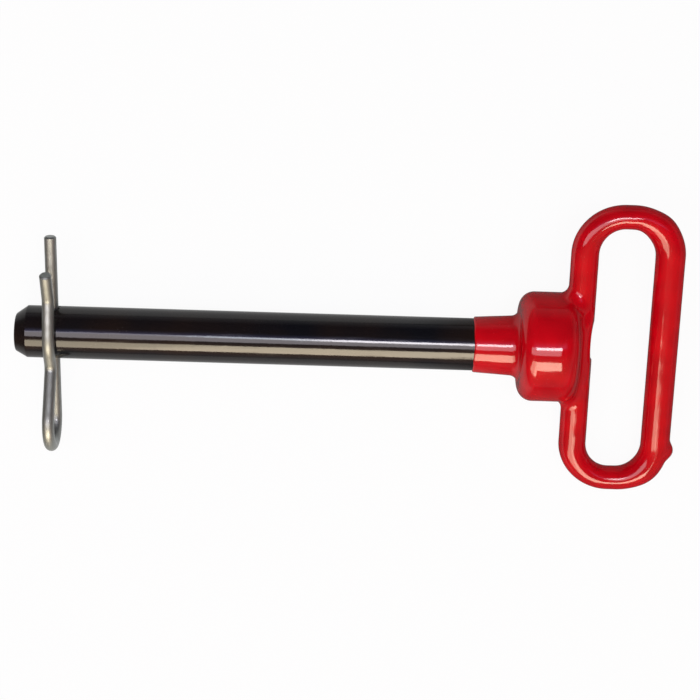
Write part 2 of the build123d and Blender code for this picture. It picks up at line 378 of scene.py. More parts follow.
@dataclass
class ForgedPin:
    """Shank and collar turned as one piece, cross drilled near the tip.

    The solid's groove for the rod, across the collar's back, is under the coating and left out here.

    Attributes:
        sizes: sizes of the pin.
        columns: vertices round the pin, a multiple of 8.
        patch_half: half the length of shank that the hole's patch takes.
        patch_columns: columns on each side of the hole that the patch takes.
        patch_rows: rows that the patch takes.
        patch_rings: rings between the hole and the patch's border.
        ring_growth: power by which those rings spread outwards.
        wall_levels: places of the hole wall's rows, as shares of its depth.
        rim_hold: how near the wall's last row but one is to its rim, as a share of the way.
        tip_step: distance between the rows on the tip.
        shank_step: distance between the rows behind the hole.
        tip_skew: how far the sheared end's face sits off the axis.
    """

    sizes: PinSizes
    columns: int = 192
    patch_half: float = 4.0
    patch_columns: int = 12
    patch_rows: int = 24
    patch_rings: int = 9
    ring_growth: float = 1.4
    wall_levels: tuple[float, ...] = (0.0, 0.04, 0.3, 0.65, 1.0)
    rim_hold: float = 0.98
    tip_step: float = 1.0
    shank_step: float = 2.5
    tip_skew: float = 0.4

    def radius_near_hole(self, x: np.ndarray) -> np.ndarray:
        """Radius of the slight taper between the tip's chamfer and the plain shank.

        Args:
            x: distances from the tip.

        Returns:
            A radius for each.
        """
        s = self.sizes
        share = (x - s.tip_chamfer) / (s.relief_length - s.tip_chamfer)
        return s.shank_radius - s.tip_relief * (1 - np.clip(share, 0, 1))

    def profile(self) -> tuple[np.ndarray, int]:
        """Outline of the turned form.

        Returns:
            Points (x, radius) from the tip's centre to the collar's back, and the first row of the patch.
        """
        s = self.sizes
        first = s.hole_from_tip - self.patch_half
        rows = first + np.linspace(0, 2 * self.patch_half, self.patch_rows + 1)
        tip = rounded_outline(
            [
                (0, 0),
                (0, s.tip_radius),
                (s.tip_chamfer, s.shank_radius - s.tip_relief),
                (first, self.radius_near_hole(first)),
            ],
            [0, s.tip_edge_radius, s.shoulder_radius, 0],
            self.tip_step,
        )
        hole = np.column_stack([rows, self.radius_near_hole(rows)])
        collar_back = s.shank_length + s.collar_length
        rest = rounded_outline(
            [
                (rows[-1], s.shank_radius),
                (s.neck_draft_x, s.shank_radius),
                (s.shank_length, s.shank_radius + s.neck_draft),
                (s.shank_length, s.collar_radius),
                (collar_back, s.collar_radius),
                (collar_back, 0),
            ],
            [0, 0, s.neck_fillet, s.collar_front_radius, s.collar_back_radius + s.back_flow, 0],
            self.shank_step,
        )
        return np.vstack([tip, hole[1:], rest[1:]]), len(tip) - 1

    def turned(self) -> tuple[np.ndarray, np.ndarray]:
        """Profile carried round the axis, without the faces that the hole's patches take.

        A vertex is (x, r sin t, r cos t), with t the angle from the loop's front.

        Returns:
            Points and quads.
        """
        s = self.sizes
        outline, first = self.profile()
        turn = np.arange(self.columns) * 2 * pi / self.columns
        points = np.stack(
            np.broadcast_arrays(
                outline[:, :1], outline[:, 1:] * np.sin(turn), outline[:, 1:] * np.cos(turn)
            ),
            axis=-1,
        )
        points[..., 1] -= self.tip_skew * np.clip(1 - points[..., 0] / s.tip_chamfer, 0, 1)
        quads = grid_quads(len(outline), self.columns, closed=True)
        row, column = np.divmod(np.arange(len(quads)), self.columns)
        quarter = self.columns // 4
        from_side = np.minimum(abs(column + 0.5 - quarter), abs(column + 0.5 - 3 * quarter))
        in_patch = (row >= first) & (row < first + self.patch_rows) & (from_side < self.patch_columns)
        return points.reshape(-1, 3), quads[~in_patch]

    def patch(self, side: int) -> tuple[np.ndarray, np.ndarray]:
        """Part of the shank's surface between the cross hole and the turned rows and columns.

        On the unrolled surface, each ray from the hole's axis goes from the hole's rim to the patch's
        square border, whose points are the turned form's own.

        Args:
            side: 1 for the side of positive y, and -1 for the other.

        Returns:
            Points and quads, with the bevelled rim and half of the hole's wall.
        """
        s = self.sizes
        half_turn = self.patch_columns * 2 * pi / self.columns
        along = np.linspace(-1, 1, self.patch_rows + 1)
        across = np.linspace(-1, 1, 2 * self.patch_columns + 1)
        border = np.vstack(
            [
                np.column_stack([np.full(len(across) - 1, 1.0), across[:-1]]),
                np.column_stack([-along[:-1], np.full(len(along) - 1, 1.0)]),
                np.column_stack([np.full(len(across) - 1, -1.0), -across[:-1]]),
                np.column_stack([along[:-1], np.full(len(along) - 1, -1.0)]),
            ]
        ) * (self.patch_half, half_turn)
        ray = np.arctan2(border[:, 1] * s.shank_radius, border[:, 0])
        rim = s.hole_radius + s.hole_edge_break
        rim_x = s.hole_from_tip + rim * np.cos(ray)
        rim_turn = np.arcsin(rim * np.sin(ray) / self.radius_near_hole(rim_x))
        share = np.linspace(0, 1, self.patch_rings + 1)[:, None] ** self.ring_growth
        x = rim_x * (1 - share) + (s.hole_from_tip + border[:, 0]) * share
        turn = rim_turn * (1 - share) + border[:, 1] * share
        radius = self.radius_near_hole(x)
        skin = np.stack([x, side * radius * np.cos(turn), radius * np.sin(turn)], axis=-1)
        wall_x = s.hole_from_tip + s.hole_radius * np.cos(ray)
        wall_z = s.hole_radius * np.sin(ray)
        depth = np.sqrt(self.radius_near_hole(wall_x) ** 2 - wall_z**2) - s.hole_edge_break
        levels = np.array(self.wall_levels)[:, None] * np.ones(len(ray))
        wall = np.stack(np.broadcast_arrays(wall_x, side * depth * levels, wall_z), axis=-1)
        wall[-2] = wall[-1] * self.rim_hold + wall[-2] * (1 - self.rim_hold)
        points = np.vstack([wall, skin])
        return points.reshape(-1, 3), grid_quads(len(points), len(ray), closed=True)[:, :: side]

    def build(self, place: PinFrame) -> bpy.types.Object:
        """Joins the turned form and both patches into one closed mesh.

        Args:
            place: the pin's frame.

        Returns:
            The piece.
        """
        nets = [self.turned(), self.patch(1), self.patch(-1)]
        if signed_volume(nets[0][0], nets[0][1]) < 0:
            nets[0] = (nets[0][0], nets[0][1][:, ::-1])
        starts = np.cumsum([0] + [len(points) for points, _ in nets[:-1]])
        points = np.vstack([points for points, _ in nets])
        quads = np.vstack([quads + start for (_, quads), start in zip(nets, starts)])
        piece = mesh_object("black_pin", place.to_row(points), quads, Shading.CREASED)
        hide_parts("forged_pin")
        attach(piece, Body.PIN.value)
        return piece


# ---------------------------------------------------------------------------------------------------------
# Dipped coating


@dataclass(frozen=True)
class Swell:
    """A place where the dip dried thick on the loop's skin.

    Attributes:
        x: its place along the shank.
        y: its place along the loop.
        reach: distance in which it falls off.
        height: how much thicker the skin is there.
        z: its place out of the loop's front.
    """

    x: float
    y: float
    reach: float
    height: float
    z: float = 0.0


def round_union(a: np.ndarray, b: np.ndarray, radius: float) -> np.ndarray:
    """Distance to two joined forms with a fillet: its radius less the length of what is left of it."""
    left = np.hypot(np.maximum(radius - a, 0), np.maximum(radius - b, 0))
    return np.maximum(radius, np.minimum(a, b)) - left


def round_corner(a: np.ndarray, b: np.ndarray, radius: float) -> np.ndarray:
    """Distance to what two forms share, with its edge rounded.

    Each distance is taken to its form made smaller by the radius. The larger one counts, or, outside both,
    the length of the pair, and then the radius is taken off.

    Args:
        a: distance to the first form.
        b: distance to the second.
        radius: radius of the edge.

    Returns:
        One value for each pair.
    """
    a, b = a + radius, b + radius
    return np.minimum(np.maximum(a, b), 0) + np.hypot(np.maximum(a, 0), np.maximum(b, 0)) - radius


def ease(share: np.ndarray) -> np.ndarray:
    """Smooth step from 0 to 1: three times the share's square less twice its cube."""
    share = np.clip(share, 0, 1)
    return share * share * (3 - 2 * share)


@dataclass
class DippedSkin:
    """The dipped coating over the end of the shank, the collar, the weld and the loop, as one skin.

    It has what the solid coating lacks: waves on the skin and its lip, swells, the bulge on the collar, and
    the fillets round the beads, at the loop's joint and round the drip. Its beads are flat where the solid's
    have a belly of 0.5 mm, and its drip is 0.1 mm lower, with a tip radius 0.3 mm smaller.

    Attributes:
        sizes: sizes of the metal under it.
        thickness: on the collar.
        on_shank: covered length of shank.
        neck_start: thickness at the coating's edge on the shank.
        neck_end: thickness where the neck meets the collar.
        lip_radius: rounding of the coating's edge.
        lip_waves: height, count round the shank and phase of each wave of that edge.
        neck_fillet: fillet between neck and collar.
        near_run: thickness on the run behind the collar.
        far_run: thickness on the far run.
        bend_flat: thickness at the middle of each bend, in the loop's plane.
        bend_deep: the same, square to that plane.
        bead_leg: width of the weld bead's foot on the collar.
        bead_reach: distance from the shank's axis at which the beads end.
        bead_corner: rounding of their ends.
        bead_fillet: fillet between them and the collar.
        joint_fillet: fillet between the loop and the collar.
        dip_depth: depth of the hollow above the rod's butt joint.
        dip_length: its length.
        dip_step: its depth at the joint.
        dip_run_out: distance in which that step fades below the joint.
        drip_angle: place of the drip round the far lower bend, in degrees below square to the far run.
        drip_height: how far the drip stands out.
        drip_radius: radius of its tip.
        drip_fillet: fillet at its foot.
        wave_height: height of the skin's slow waves.
        wave_length: their length.
        net_step: grid step of the net.
        net_margin: room left round the loop in the grid, and before the lip.
        net_depth: half of the grid's depth.
        collar_bulge: how much thicker the collar's skin is above the middle of its front.
        collar_bulge_at: place of that bulge round the collar, in degrees below the middle.
        collar_bulge_reach: its reach round the collar, in degrees.
        swells: places where the dip dried thick.
    """

    sizes: PinSizes
    thickness: float = 0.9
    on_shank: float = 17.4
    neck_start: float = 0.6
    neck_end: float = 1.55
    lip_radius: float = 0.5
    lip_waves: tuple[tuple[float, int, float], ...] = ((0.12, 3, 0.7), (0.07, 7, 0.0))
    neck_fillet: float = 2.8
    near_run: float = 1.02
    far_run: float = 1.4
    bend_flat: float = 0.34
    bend_deep: float = 1.1
    bead_leg: float = 3.4
    bead_reach: float = 12.5
    bead_corner: float = 2.4
    bead_fillet: float = 2.5
    joint_fillet: float = 4.0
    dip_depth: float = 0.85
    dip_length: float = 14.0
    dip_step: float = 0.55
    dip_run_out: float = 1.2
    drip_angle: float = 8.0
    drip_height: float = 1.3
    drip_radius: float = 2.0
    drip_fillet: float = 3.0
    wave_height: float = 0.005
    wave_length: float = 8.0
    net_step: float = 0.55
    net_margin: tuple[float, float] = (2.0, 1.5)
    net_depth: float = 21.5
    collar_bulge: float = 0.7
    collar_bulge_at: float = -14.0
    collar_bulge_reach: float = 20.0
    swells: tuple[Swell, ...] = (
        Swell(228.0, 42.5, 5.0, 0.6),
        Swell(234.3, 48.6, 4.5, 0.4),
        Swell(234.1, -49.9, 7.0, 0.8),
    )

    def neck(self, x: np.ndarray, y: np.ndarray, z: np.ndarray) -> np.ndarray:
        """Distance to the covered end of the shank: a slight cone, with a rounded and slightly wavy edge.

        Args:
            x: places along the shank.
            y: places along the loop.
            z: places out of the loop's front.

        Returns:
            One value for each place.
        """
        s = self.sizes
        turn = np.arctan2(y, z)
        edge = s.shank_length - self.on_shank
        for height, count, phase in self.lip_waves:
            edge = edge + height * np.sin(count * turn + phase)
        share = (x - edge) / (self.on_shank - self.thickness)
        radius = s.shank_radius + self.neck_start + (self.neck_end - self.neck_start) * np.clip(share, 0, 1)
        tube = round_corner(np.hypot(y, z) - radius, edge - x, self.lip_radius)
        return np.maximum(tube, x - s.shank_length - s.collar_length / 2)

    def collar(self, x: np.ndarray, y: np.ndarray, z: np.ndarray) -> np.ndarray:
        """Distance to the covered collar: a cylinder whose front and back edges have their own rounding.

        The back edge's rounding grows with the power 1.5 of how squarely the place faces the front.

        Args:
            x: places along the shank.
            y: places along the loop.
            z: places out of the loop's front.

        Returns:
            One value for each place.
        """
        s = self.sizes
        front = s.shank_length - self.thickness
        back = s.shank_length + s.collar_length + self.thickness
        below = np.degrees(np.arctan2(-y, z)) - self.collar_bulge_at
        bulge = self.collar_bulge * np.exp(-((below / self.collar_bulge_reach) ** 2))
        outside = np.hypot(y, z) - s.collar_radius - self.thickness - bulge
        nose = round_corner(outside, front - x, s.collar_front_radius + self.thickness)
        facing = np.maximum(z, 0) / np.maximum(np.hypot(y, z), NEAR_ZERO)
        soft = s.collar_back_radius + self.thickness + s.back_flow * facing**1.5
        tail = round_corner(outside, x - back, soft)
        return np.where(x < (front + back) / 2, nose, tail)

    def loop(self, x: np.ndarray, y: np.ndarray, z: np.ndarray) -> np.ndarray:
        """Distance to the covered rod: an oval section carried along the loop's rounded rectangle.

        Across the loop's plane the section's place is the distance to that rectangle, positive outside. Its
        two half widths go evenly from the runs' to the bends'. The distance to an oval with half widths a
        and b is k (k - 1) / g, where k is the length of (u/a, v/b) and g that of (u/a2, v/b2), a2 being a
        squared. At the rod's centre line, where k is about 0, it is less the rod's radius.

        Args:
            x: places along the shank.
            y: places along the loop.
            z: places out of the loop's front.

        Returns:
            One value for each place.
        """
        s = self.sizes
        middle = (s.near_x + s.far_x) / 2
        side, end = s.loop_wide / 2 - s.bend_radius, s.loop_long / 2 - s.bend_radius
        past_x = abs(x - middle) - side
        past_y = abs(y + s.loop_drop) - end
        beyond = np.hypot(np.maximum(past_x, 0), np.maximum(past_y, 0))
        u = np.where(np.maximum(past_x, past_y) > 0, beyond, np.maximum(past_x, past_y)) - s.bend_radius
        angle = np.arctan2(np.maximum(past_y, 0), np.maximum(past_x, NEAR_ZERO))
        bend = np.where(past_y > 0, angle / (pi / 2), 0)
        far = ease((x - s.near_x) / s.loop_wide)
        run = s.rod_radius + self.near_run + (self.far_run - self.near_run) * far
        bend = ease(bend)
        flat = run + (s.rod_radius + self.bend_flat - run) * bend
        deep = run + (s.rod_radius + self.bend_deep - run) * bend
        flat = flat - self.hollow(x, y, u)
        k = np.hypot(u / flat, z / deep)
        g = np.hypot(u / flat**2, z / deep**2)
        return np.where(k > 0.01, k * (k - 1) / np.maximum(g, NEAR_ZERO), -s.rod_radius)

    def hollow(self, x: np.ndarray, y: np.ndarray, u: np.ndarray) -> np.ndarray:
        """How much thinner the near run's skin is on the loop's inner side above the rod's butt joint.

        Args:
            x: places along the shank.
            y: places along the loop.
            u: distances out of the loop's rounded rectangle, negative inside it.

        Returns:
            One value for each place.
        """
        s = self.sizes
        along = (y - s.butt_y) / self.dip_length
        arch = self.dip_step * (1 - along) + 4 * (self.dip_depth - self.dip_step / 2) * along * (1 - along)
        held = np.where((along > 0) & (along < 1), np.maximum(arch, 0), 0)
        below = self.dip_step * ease(1 + along * self.dip_length / self.dip_run_out)
        depth = np.where(along <= 0, below, held)
        return depth * ease(-u / s.rod_radius) * (x < s.near_x + s.bend_radius)

    def beads(self, x: np.ndarray, y: np.ndarray, z: np.ndarray) -> np.ndarray:
        """Distance to the covered weld beads: the flat from the foot on the collar to the run's side.

        The flat is cut round at the beads' reach, and beyond the run's side it stops at the radius through
        its top.

        Args:
            x: places along the shank.
            y: places along the loop.
            z: places out of the loop's front.

        Returns:
            One value for each place.
        """
        s = self.sizes
        back = s.shank_length + s.collar_length + self.thickness
        run = s.rod_radius + self.near_run
        seat = asin((s.near_x - back) / run)
        lean = self.bead_leg / run - seat
        foot_x, foot_z = back, run * cos(seat) + self.bead_leg
        top_x, top_z = s.near_x + run * sin(lean), run * cos(lean)
        slope = atan2(top_x - foot_x, foot_z - top_z)
        flat = (x - foot_x) * cos(slope) + (abs(z) - foot_z) * sin(slope)
        inward = (x - s.near_x) * cos(lean) - abs(z) * sin(lean)
        cut = round_corner(flat, np.hypot(y, z) - self.bead_reach - self.thickness, self.bead_corner)
        cut = np.maximum(cut, inward)
        return np.maximum(cut, s.shank_length + s.collar_length / 2 - x)

    def drip(self, x: np.ndarray, y: np.ndarray, z: np.ndarray) -> np.ndarray:
        """Distance to the dried drip: a small ball that leans out of the far lower bend.

        Args:
            x: places along the shank.
            y: places along the loop.
            z: places out of the loop's front.

        Returns:
            One value for each place.
        """
        s = self.sizes
        angle = radians(-self.drip_angle)
        reach = s.bend_radius + s.rod_radius + self.far_run + self.drip_height - self.drip_radius
        centre_x = s.far_x - s.bend_radius + reach * cos(angle)
        centre_y = s.bend_radius - s.loop_long / 2 - s.loop_drop + reach * sin(angle)
        return np.sqrt((x - centre_x) ** 2 + (y - centre_y) ** 2 + z**2) - self.drip_radius

    def distance(self, points: np.ndarray) -> np.ndarray:
        """Distance to the whole skin, negative inside.

        The slow waves are three sines that cross each other. Their factors only keep them from lining up.

        Args:
            points: positions in the pin's frame, in the last axis.

        Returns:
            One value for each position.
        """
        x, y, z = points[..., 0], points[..., 1], points[..., 2]
        turned = round_union(self.neck(x, y, z), self.collar(x, y, z), self.neck_fillet)
        welded = round_union(turned, self.beads(x, y, z), self.bead_fillet)
        whole = round_union(welded, self.loop(x, y, z), self.joint_fillet)
        whole = round_union(whole, self.drip(x, y, z), self.drip_fillet)
        for swell in self.swells:
            apart = (x - swell.x) ** 2 + (y - swell.y) ** 2 + (z - swell.z) ** 2
            whole = whole - swell.height * np.exp(-apart / swell.reach**2)
        turns = 2 * pi / self.wave_length
        wave = (
            np.sin(turns * (x + 0.6 * z) + 1.3 * np.sin(0.37 * turns * y))
            + np.sin(turns * (0.8 * y - 0.7 * z) + 1.1 * np.sin(0.43 * turns * x))
            + np.sin(1.7 * turns * (0.5 * x + 0.6 * y + 0.6 * z))
        )
        return whole - self.wave_height * wave

    def build(self, place: PinFrame) -> bpy.types.Object:
        """Nets the skin and puts it in place of the solid coating.

        Args:
            place: the pin's frame.

        Returns:
            The piece.
        """
        s = self.sizes
        round_loop, before_lip = self.net_margin
        margin = s.rod_radius + self.far_run + round_loop
        start = s.shank_length - self.on_shank - before_lip
        low = np.array([start, -s.loop_long / 2 - s.loop_drop - margin, -self.net_depth])
        high = np.array([s.far_x + margin, s.loop_long / 2 - s.loop_drop + margin, self.net_depth])
        points, quads = net_surface(self.distance, low, high, self.net_step)
        points, normals = settle(self.distance, points, quads)
        normals = normals @ place.axes
        piece = mesh_object("red_dip", place.to_row(points), quads, Shading.GIVEN, normals=normals)
        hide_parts("handle_coating")
        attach(piece, Body.PIN.value)
        return piece


def net_surface(
    distance: Callable[[np.ndarray], np.ndarray], low: np.ndarray, high: np.ndarray, step: float
) -> tuple[np.ndarray, np.ndarray]:
    """Net over the zero surface of a distance, with one vertex in each grid cell that the surface crosses.

    A vertex is the mean of the crossings on its cell's twelve edges, and each crossed grid edge gives the
    quad of the four cells round it.

    Args:
        distance: the distance, negative inside.
        low: lowest corner of the grid.
        high: highest corner.
        step: distance between grid points.

    Returns:
        Points and quads.
    """
    counts = np.ceil((high - low) / step).astype(int) + 1
    axes = [low[i] + step * np.arange(counts[i]) for i in range(3)]
    values = np.empty(counts, dtype=np.float32)
    for i, x in enumerate(axes[0]):
        y, z = np.meshgrid(axes[1], axes[2], indexing="ij")
        values[i] = distance(np.stack([np.full_like(y, x), y, z], axis=-1))
    inside = values < 0
    shape = tuple(counts - 1)
    held = np.zeros(shape, dtype=np.int8)
    for corner in np.ndindex(2, 2, 2):
        held += inside[tuple(slice(c, c + n) for c, n in zip(corner, shape))]
    cells = np.argwhere((held > 0) & (held < 8))
    number = np.full(shape, -1, dtype=np.int64)
    number[tuple(cells.T)] = np.arange(len(cells))
    total, crossings = np.zeros((len(cells), 3)), np.zeros(len(cells))
    for axis in range(3):
        for across in np.ndindex(2, 2):
            start = np.insert(np.array(across), axis, 0)
            end = np.insert(np.array(across), axis, 1)
            a, b = values[tuple((cells + start).T)], values[tuple((cells + end).T)]
            crossed = (a < 0) != (b < 0)
            share = np.where(crossed, a / np.where(crossed, a - b, 1), 0)
            spot = cells + start + share[:, None] * (end - start)
            total += spot * crossed[:, None]
            crossings += crossed
    points = low + step * total / crossings[:, None]
    quads = []
    for axis in range(3):
        ahead = np.roll([1, 0, 0], axis)
        near = inside[tuple(slice(0, n - a) for n, a in zip(inside.shape, ahead))]
        far = inside[tuple(slice(a, None) for a in ahead)]
        edges = np.argwhere(near != far)
        second, third = np.roll([0, 1, 0], axis), np.roll([0, 0, 1], axis)
        ring = [edges - second - third, edges - third, edges, edges - second]
        quad = np.stack([number[tuple(c.T)] for c in ring], axis=-1)
        leaving = near[tuple(edges.T)]
        quads.append(np.where(leaving[:, None], quad, quad[:, ::-1]))
    return points, np.vstack(quads)


def settle(
    distance: Callable[[np.ndarray], np.ndarray], points: np.ndarray, quads: np.ndarray, rounds: int = 4,
    landings: int = 2, reach: float = 0.02, flattest: float = 0.05,
) -> tuple[np.ndarray, np.ndarray]:
    """Evens a net out and lays its vertices on the zero surface.

    Each round moves a vertex half way to the mean of its neighbours, then twice along its gradient, by the
    distance over the gradient's squared length.

    Args:
        distance: the distance.
        points: vertices of the net.
        quads: its faces.
        rounds: number of rounds.
        landings: moves along the gradient in each round.
        reach: step of the central differences.
        flattest: least squared length of the gradient that a move divides by.

    Returns:
        Points and their unit normals.
    """

    def gradient(at: np.ndarray) -> np.ndarray:
        """Central differences of the distance."""
        steps = np.eye(3) * reach
        return np.stack([distance(at + d) - distance(at - d) for d in steps], axis=-1) / (2 * reach)

    ends = np.vstack([quads[:, [0, 1]], quads[:, [1, 2]], quads[:, [2, 3]], quads[:, [3, 0]]])
    total = len(points)
    count = np.bincount(ends[:, 0], minlength=total) + np.bincount(ends[:, 1], minlength=total)
    for _ in range(rounds):
        mean = np.stack(
            [
                np.bincount(ends[:, 0], weights=points[ends[:, 1], i], minlength=total)
                + np.bincount(ends[:, 1], weights=points[ends[:, 0], i], minlength=total)
                for i in range(3)
            ],
            axis=-1,
        )
        points = (points + mean / count[:, None]) / 2
        for _ in range(landings):
            slope = gradient(points)
            size = np.maximum((slope**2).sum(axis=-1), flattest)
            points = points - slope * (distance(points) / size)[:, None]
    return points, unit(gradient(points))


# ---------------------------------------------------------------------------------------------------------
# Hairpin clip


@dataclass
class HairpinClip:
    """Spring wire clip: a straight leg, a round eye and a bent leg, from one wire.

    Places are along the straight leg from the shank's axis, and out from it, in the clip's plane. Three sizes
    differ from the solid's: wire_radius is 0.18 mm larger, leg_above is 0.5 mm longer, and waist_along is
    1.4 mm nearer to the shank.

    Attributes:
        sizes: the pin's sizes.
        wire_radius: radius of the wire.
        leg_above: length of the straight leg past the shank's axis.
        eye_radius: radius of the eye, to the wire's centre line as all the bends' are.
        eye_centre: place of its centre along the leg.
        waist_radius: radius of the bend where the wire comes back to the shank.
        waist_along: place of its centre along the leg.
        waist_out: place of its centre out from the leg.
        crown_clearance: gap between the shank and the wire that goes over it.
        shoulder_radius: radius of the bend past the crown.
        shoulder_along: place of its centre along the leg.
        shoulder_out: place of its centre out from the leg.
        bent_leg_above: length of the bent leg past the shank's axis.
        tip_flare: angle at which its end leads away, in degrees.
        end_break: break at both ends of the wire.
        end_hold: distance of the rows that hold the break's shading from its edges.
        end_fill: places of the two holding rows across the break, as shares of it.
        end_room: distance behind the break that is left free of the path's own rows.
        swivel: turn of the clip about its straight leg, in degrees.
        columns: number of columns round the wire.
    """

    sizes: PinSizes
    wire_radius: float = 2.18
    leg_above: float = 36.1
    eye_radius: float = 9.0
    eye_centre: float = 31.0
    waist_radius: float = 4.5
    waist_along: float = 10.6
    waist_out: float = 13.1
    crown_clearance: float = 0.1
    shoulder_radius: float = 6.0
    shoulder_along: float = -14.5
    shoulder_out: float = 15.3
    bent_leg_above: float = 25.6
    tip_flare: float = 20.0
    end_break: float = 0.5
    end_hold: float = 0.04
    end_fill: tuple[float, float] = (0.08, 0.92)
    end_room: float = 0.1
    swivel: float = 1.3
    columns: int = 48

    @staticmethod
    def crossing(
        start: np.ndarray, start_r: float, end: np.ndarray, end_r: float
    ) -> tuple[float, np.ndarray, np.ndarray]:
        """Line that leaves one circle, passed counterclockwise, and meets another, passed clockwise.

        A negative pair of radii swaps the two senses.

        Args:
            start: centre of the first circle.
            start_r: its radius.
            end: centre of the second circle.
            end_r: its radius.

        Returns:
            The line's heading in radians and its two ends.
        """
        span = end - start
        heading = atan2(span[1], span[0]) + asin((start_r + end_r) / hypot(*span))
        normal = np.array([-sin(heading), cos(heading)])
        return heading % (2 * pi), start - normal * start_r, end + normal * end_r

    @staticmethod
    def line(
        start: np.ndarray, end: np.ndarray, step: float = 1.5, margin: float = 0.2
    ) -> tuple[np.ndarray, np.ndarray]:
        """Points of a straight and its headings.

        Args:
            start: one end.
            end: the other.
            step: distance between points.
            margin: distance of the holding points from the ends.

        Returns:
            Points and headings.
        """
        run = np.asarray(end, dtype=float) - start
        share = spaced(0, 1, step / hypot(*run), margin / hypot(*run))[:, None]
        return start + run * share, np.full(len(share), atan2(run[1], run[0]))

    @staticmethod
    def arc(
        centre: np.ndarray, radius: float, heading: float, sweep: float, step: float = 5.0, fewest: int = 4
    ) -> tuple[np.ndarray, np.ndarray]:
        """Points of an arc and its headings.

        Args:
            centre: its centre.
            radius: its radius.
            heading: heading at its start, in radians.
            sweep: how far it turns, in radians, positive to the left.
            step: widest turn between points, in degrees.
            fewest: least number of points.

        Returns:
            Points and headings.
        """
        side = 1 if sweep > 0 else -1
        headings = heading + np.linspace(0, sweep, max(fewest, int(abs(sweep) / radians(step)) + 2))
        spoke = headings - side * pi / 2
        return centre + radius * np.column_stack([np.cos(spoke), np.sin(spoke)]), headings

    def path(self) -> tuple[np.ndarray, np.ndarray]:
        """The wire's centre line, from the end of the straight leg to the tip of the bent one.

        Returns:
            Points and headings, without repeats.
        """
        eye = np.array([self.eye_centre, self.eye_radius])
        waist = np.array([self.waist_along, self.waist_out])
        crown, crown_r = np.zeros(2), self.sizes.shank_radius + self.wire_radius + self.crown_clearance
        shoulder = np.array([self.shoulder_along, self.shoulder_out])
        to_waist, eye_end, waist_start = self.crossing(eye, self.eye_radius, waist, self.waist_radius)
        to_crown, waist_end, crown_start = self.crossing(waist, -self.waist_radius, crown, -crown_r)
        to_shoulder, crown_end, shoulder_start = self.crossing(
            crown, crown_r, shoulder, self.shoulder_radius
        )
        flare = radians(180 - self.tip_flare)
        flare_dir = np.array([cos(flare), sin(flare)])
        shoulder_end = shoulder + np.array([-sin(flare), cos(flare)]) * self.shoulder_radius
        tip = shoulder_end + flare_dir * (shoulder_end[0] + self.bent_leg_above) / -flare_dir[0]
        spans = [
            self.line(np.array([-self.leg_above, 0.0]), np.array([self.eye_centre, 0.0])),
            self.arc(eye, self.eye_radius, 0, to_waist),
            self.line(eye_end, waist_start),
            self.arc(waist, self.waist_radius, to_waist, to_crown - to_waist),
            self.line(waist_end, crown_start),
            self.arc(crown, crown_r, to_crown, to_shoulder - to_crown),
            self.line(crown_end, shoulder_start),
            self.arc(shoulder, self.shoulder_radius, to_shoulder, flare - to_shoulder),
            self.line(shoulder_end, tip),
        ]
        points = np.vstack([spans[0][0]] + [span[0][1:] for span in spans[1:]])
        headings = np.concatenate([spans[0][1]] + [span[1][1:] for span in spans[1:]])
        return points, headings

    def build(self, place: PinFrame) -> bpy.types.Object:
        """Carries the round section along the path.

        A vertex is c + r (cos a n + sin a b), with n the in-plane normal and b square to the plane. The
        radius r falls by the end's break at both ends, and to nothing at the poles.

        Args:
            place: the pin's frame.

        Returns:
            The piece.
        """
        line, heading = self.path()
        along = np.concatenate([[0], np.cumsum(np.hypot(*np.diff(line, axis=0).T))])
        ahead = np.column_stack([np.cos(heading), np.sin(heading)])
        broken, hold = self.end_break, self.end_hold
        breaks = np.array([0, 0, hold, broken - hold, broken, broken + hold])
        fill = np.array([0, 1 - broken / self.wire_radius, 0, 0, 1, 1])
        fill[2:4] = fill[1] + (1 - fill[1]) * np.array(self.end_fill)
        inner = (along > broken + self.end_room) & (along < along[-1] - broken - self.end_room)
        start = line[0] + ahead[0] * breaks[:, None]
        end = line[-1] - ahead[-1] * breaks[::-1, None]
        centre = np.vstack([start, line[inner], end])
        capped = (len(breaks), 1)
        normal = np.vstack([np.tile(ahead[0], capped), ahead[inner], np.tile(ahead[-1], capped)])
        normal = np.column_stack([-normal[:, 1], normal[:, 0]])
        travel = np.concatenate([breaks, along[inner], along[-1] - breaks[::-1]])
        radius = np.concatenate([fill, np.ones(inner.sum()), fill[::-1]])[:, None] * self.wire_radius
        around = np.arange(self.columns) * 2 * pi / self.columns
        in_plane = centre[:, None] + (radius * np.cos(around))[..., None] * normal[:, None]
        points = np.concatenate([in_plane, (radius * np.sin(around))[..., None]], axis=-1).reshape(-1, 3)
        quads = grid_quads(len(centre), self.columns, closed=True)
        row, column = np.divmod(np.arange(len(quads)), self.columns)
        corner_rows = row[:, None] + [0, 0, 1, 1]
        corner_columns = column[:, None] + [0, 1, 1, 0]
        girth = corner_columns * 2 * pi * self.wire_radius / self.columns
        uv = np.stack([travel[corner_rows], girth], axis=-1)
        points = place.clip_to_row(points, self.sizes.hole_from_tip)
        piece = mesh_object("plated_clip", points, quads, Shading.CREASED, uv=uv)
        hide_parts("hairpin_clip")
        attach(piece, Body.CLIP.value)
        return piece


# ---------------------------------------------------------------------------------------------------------
# Finishes


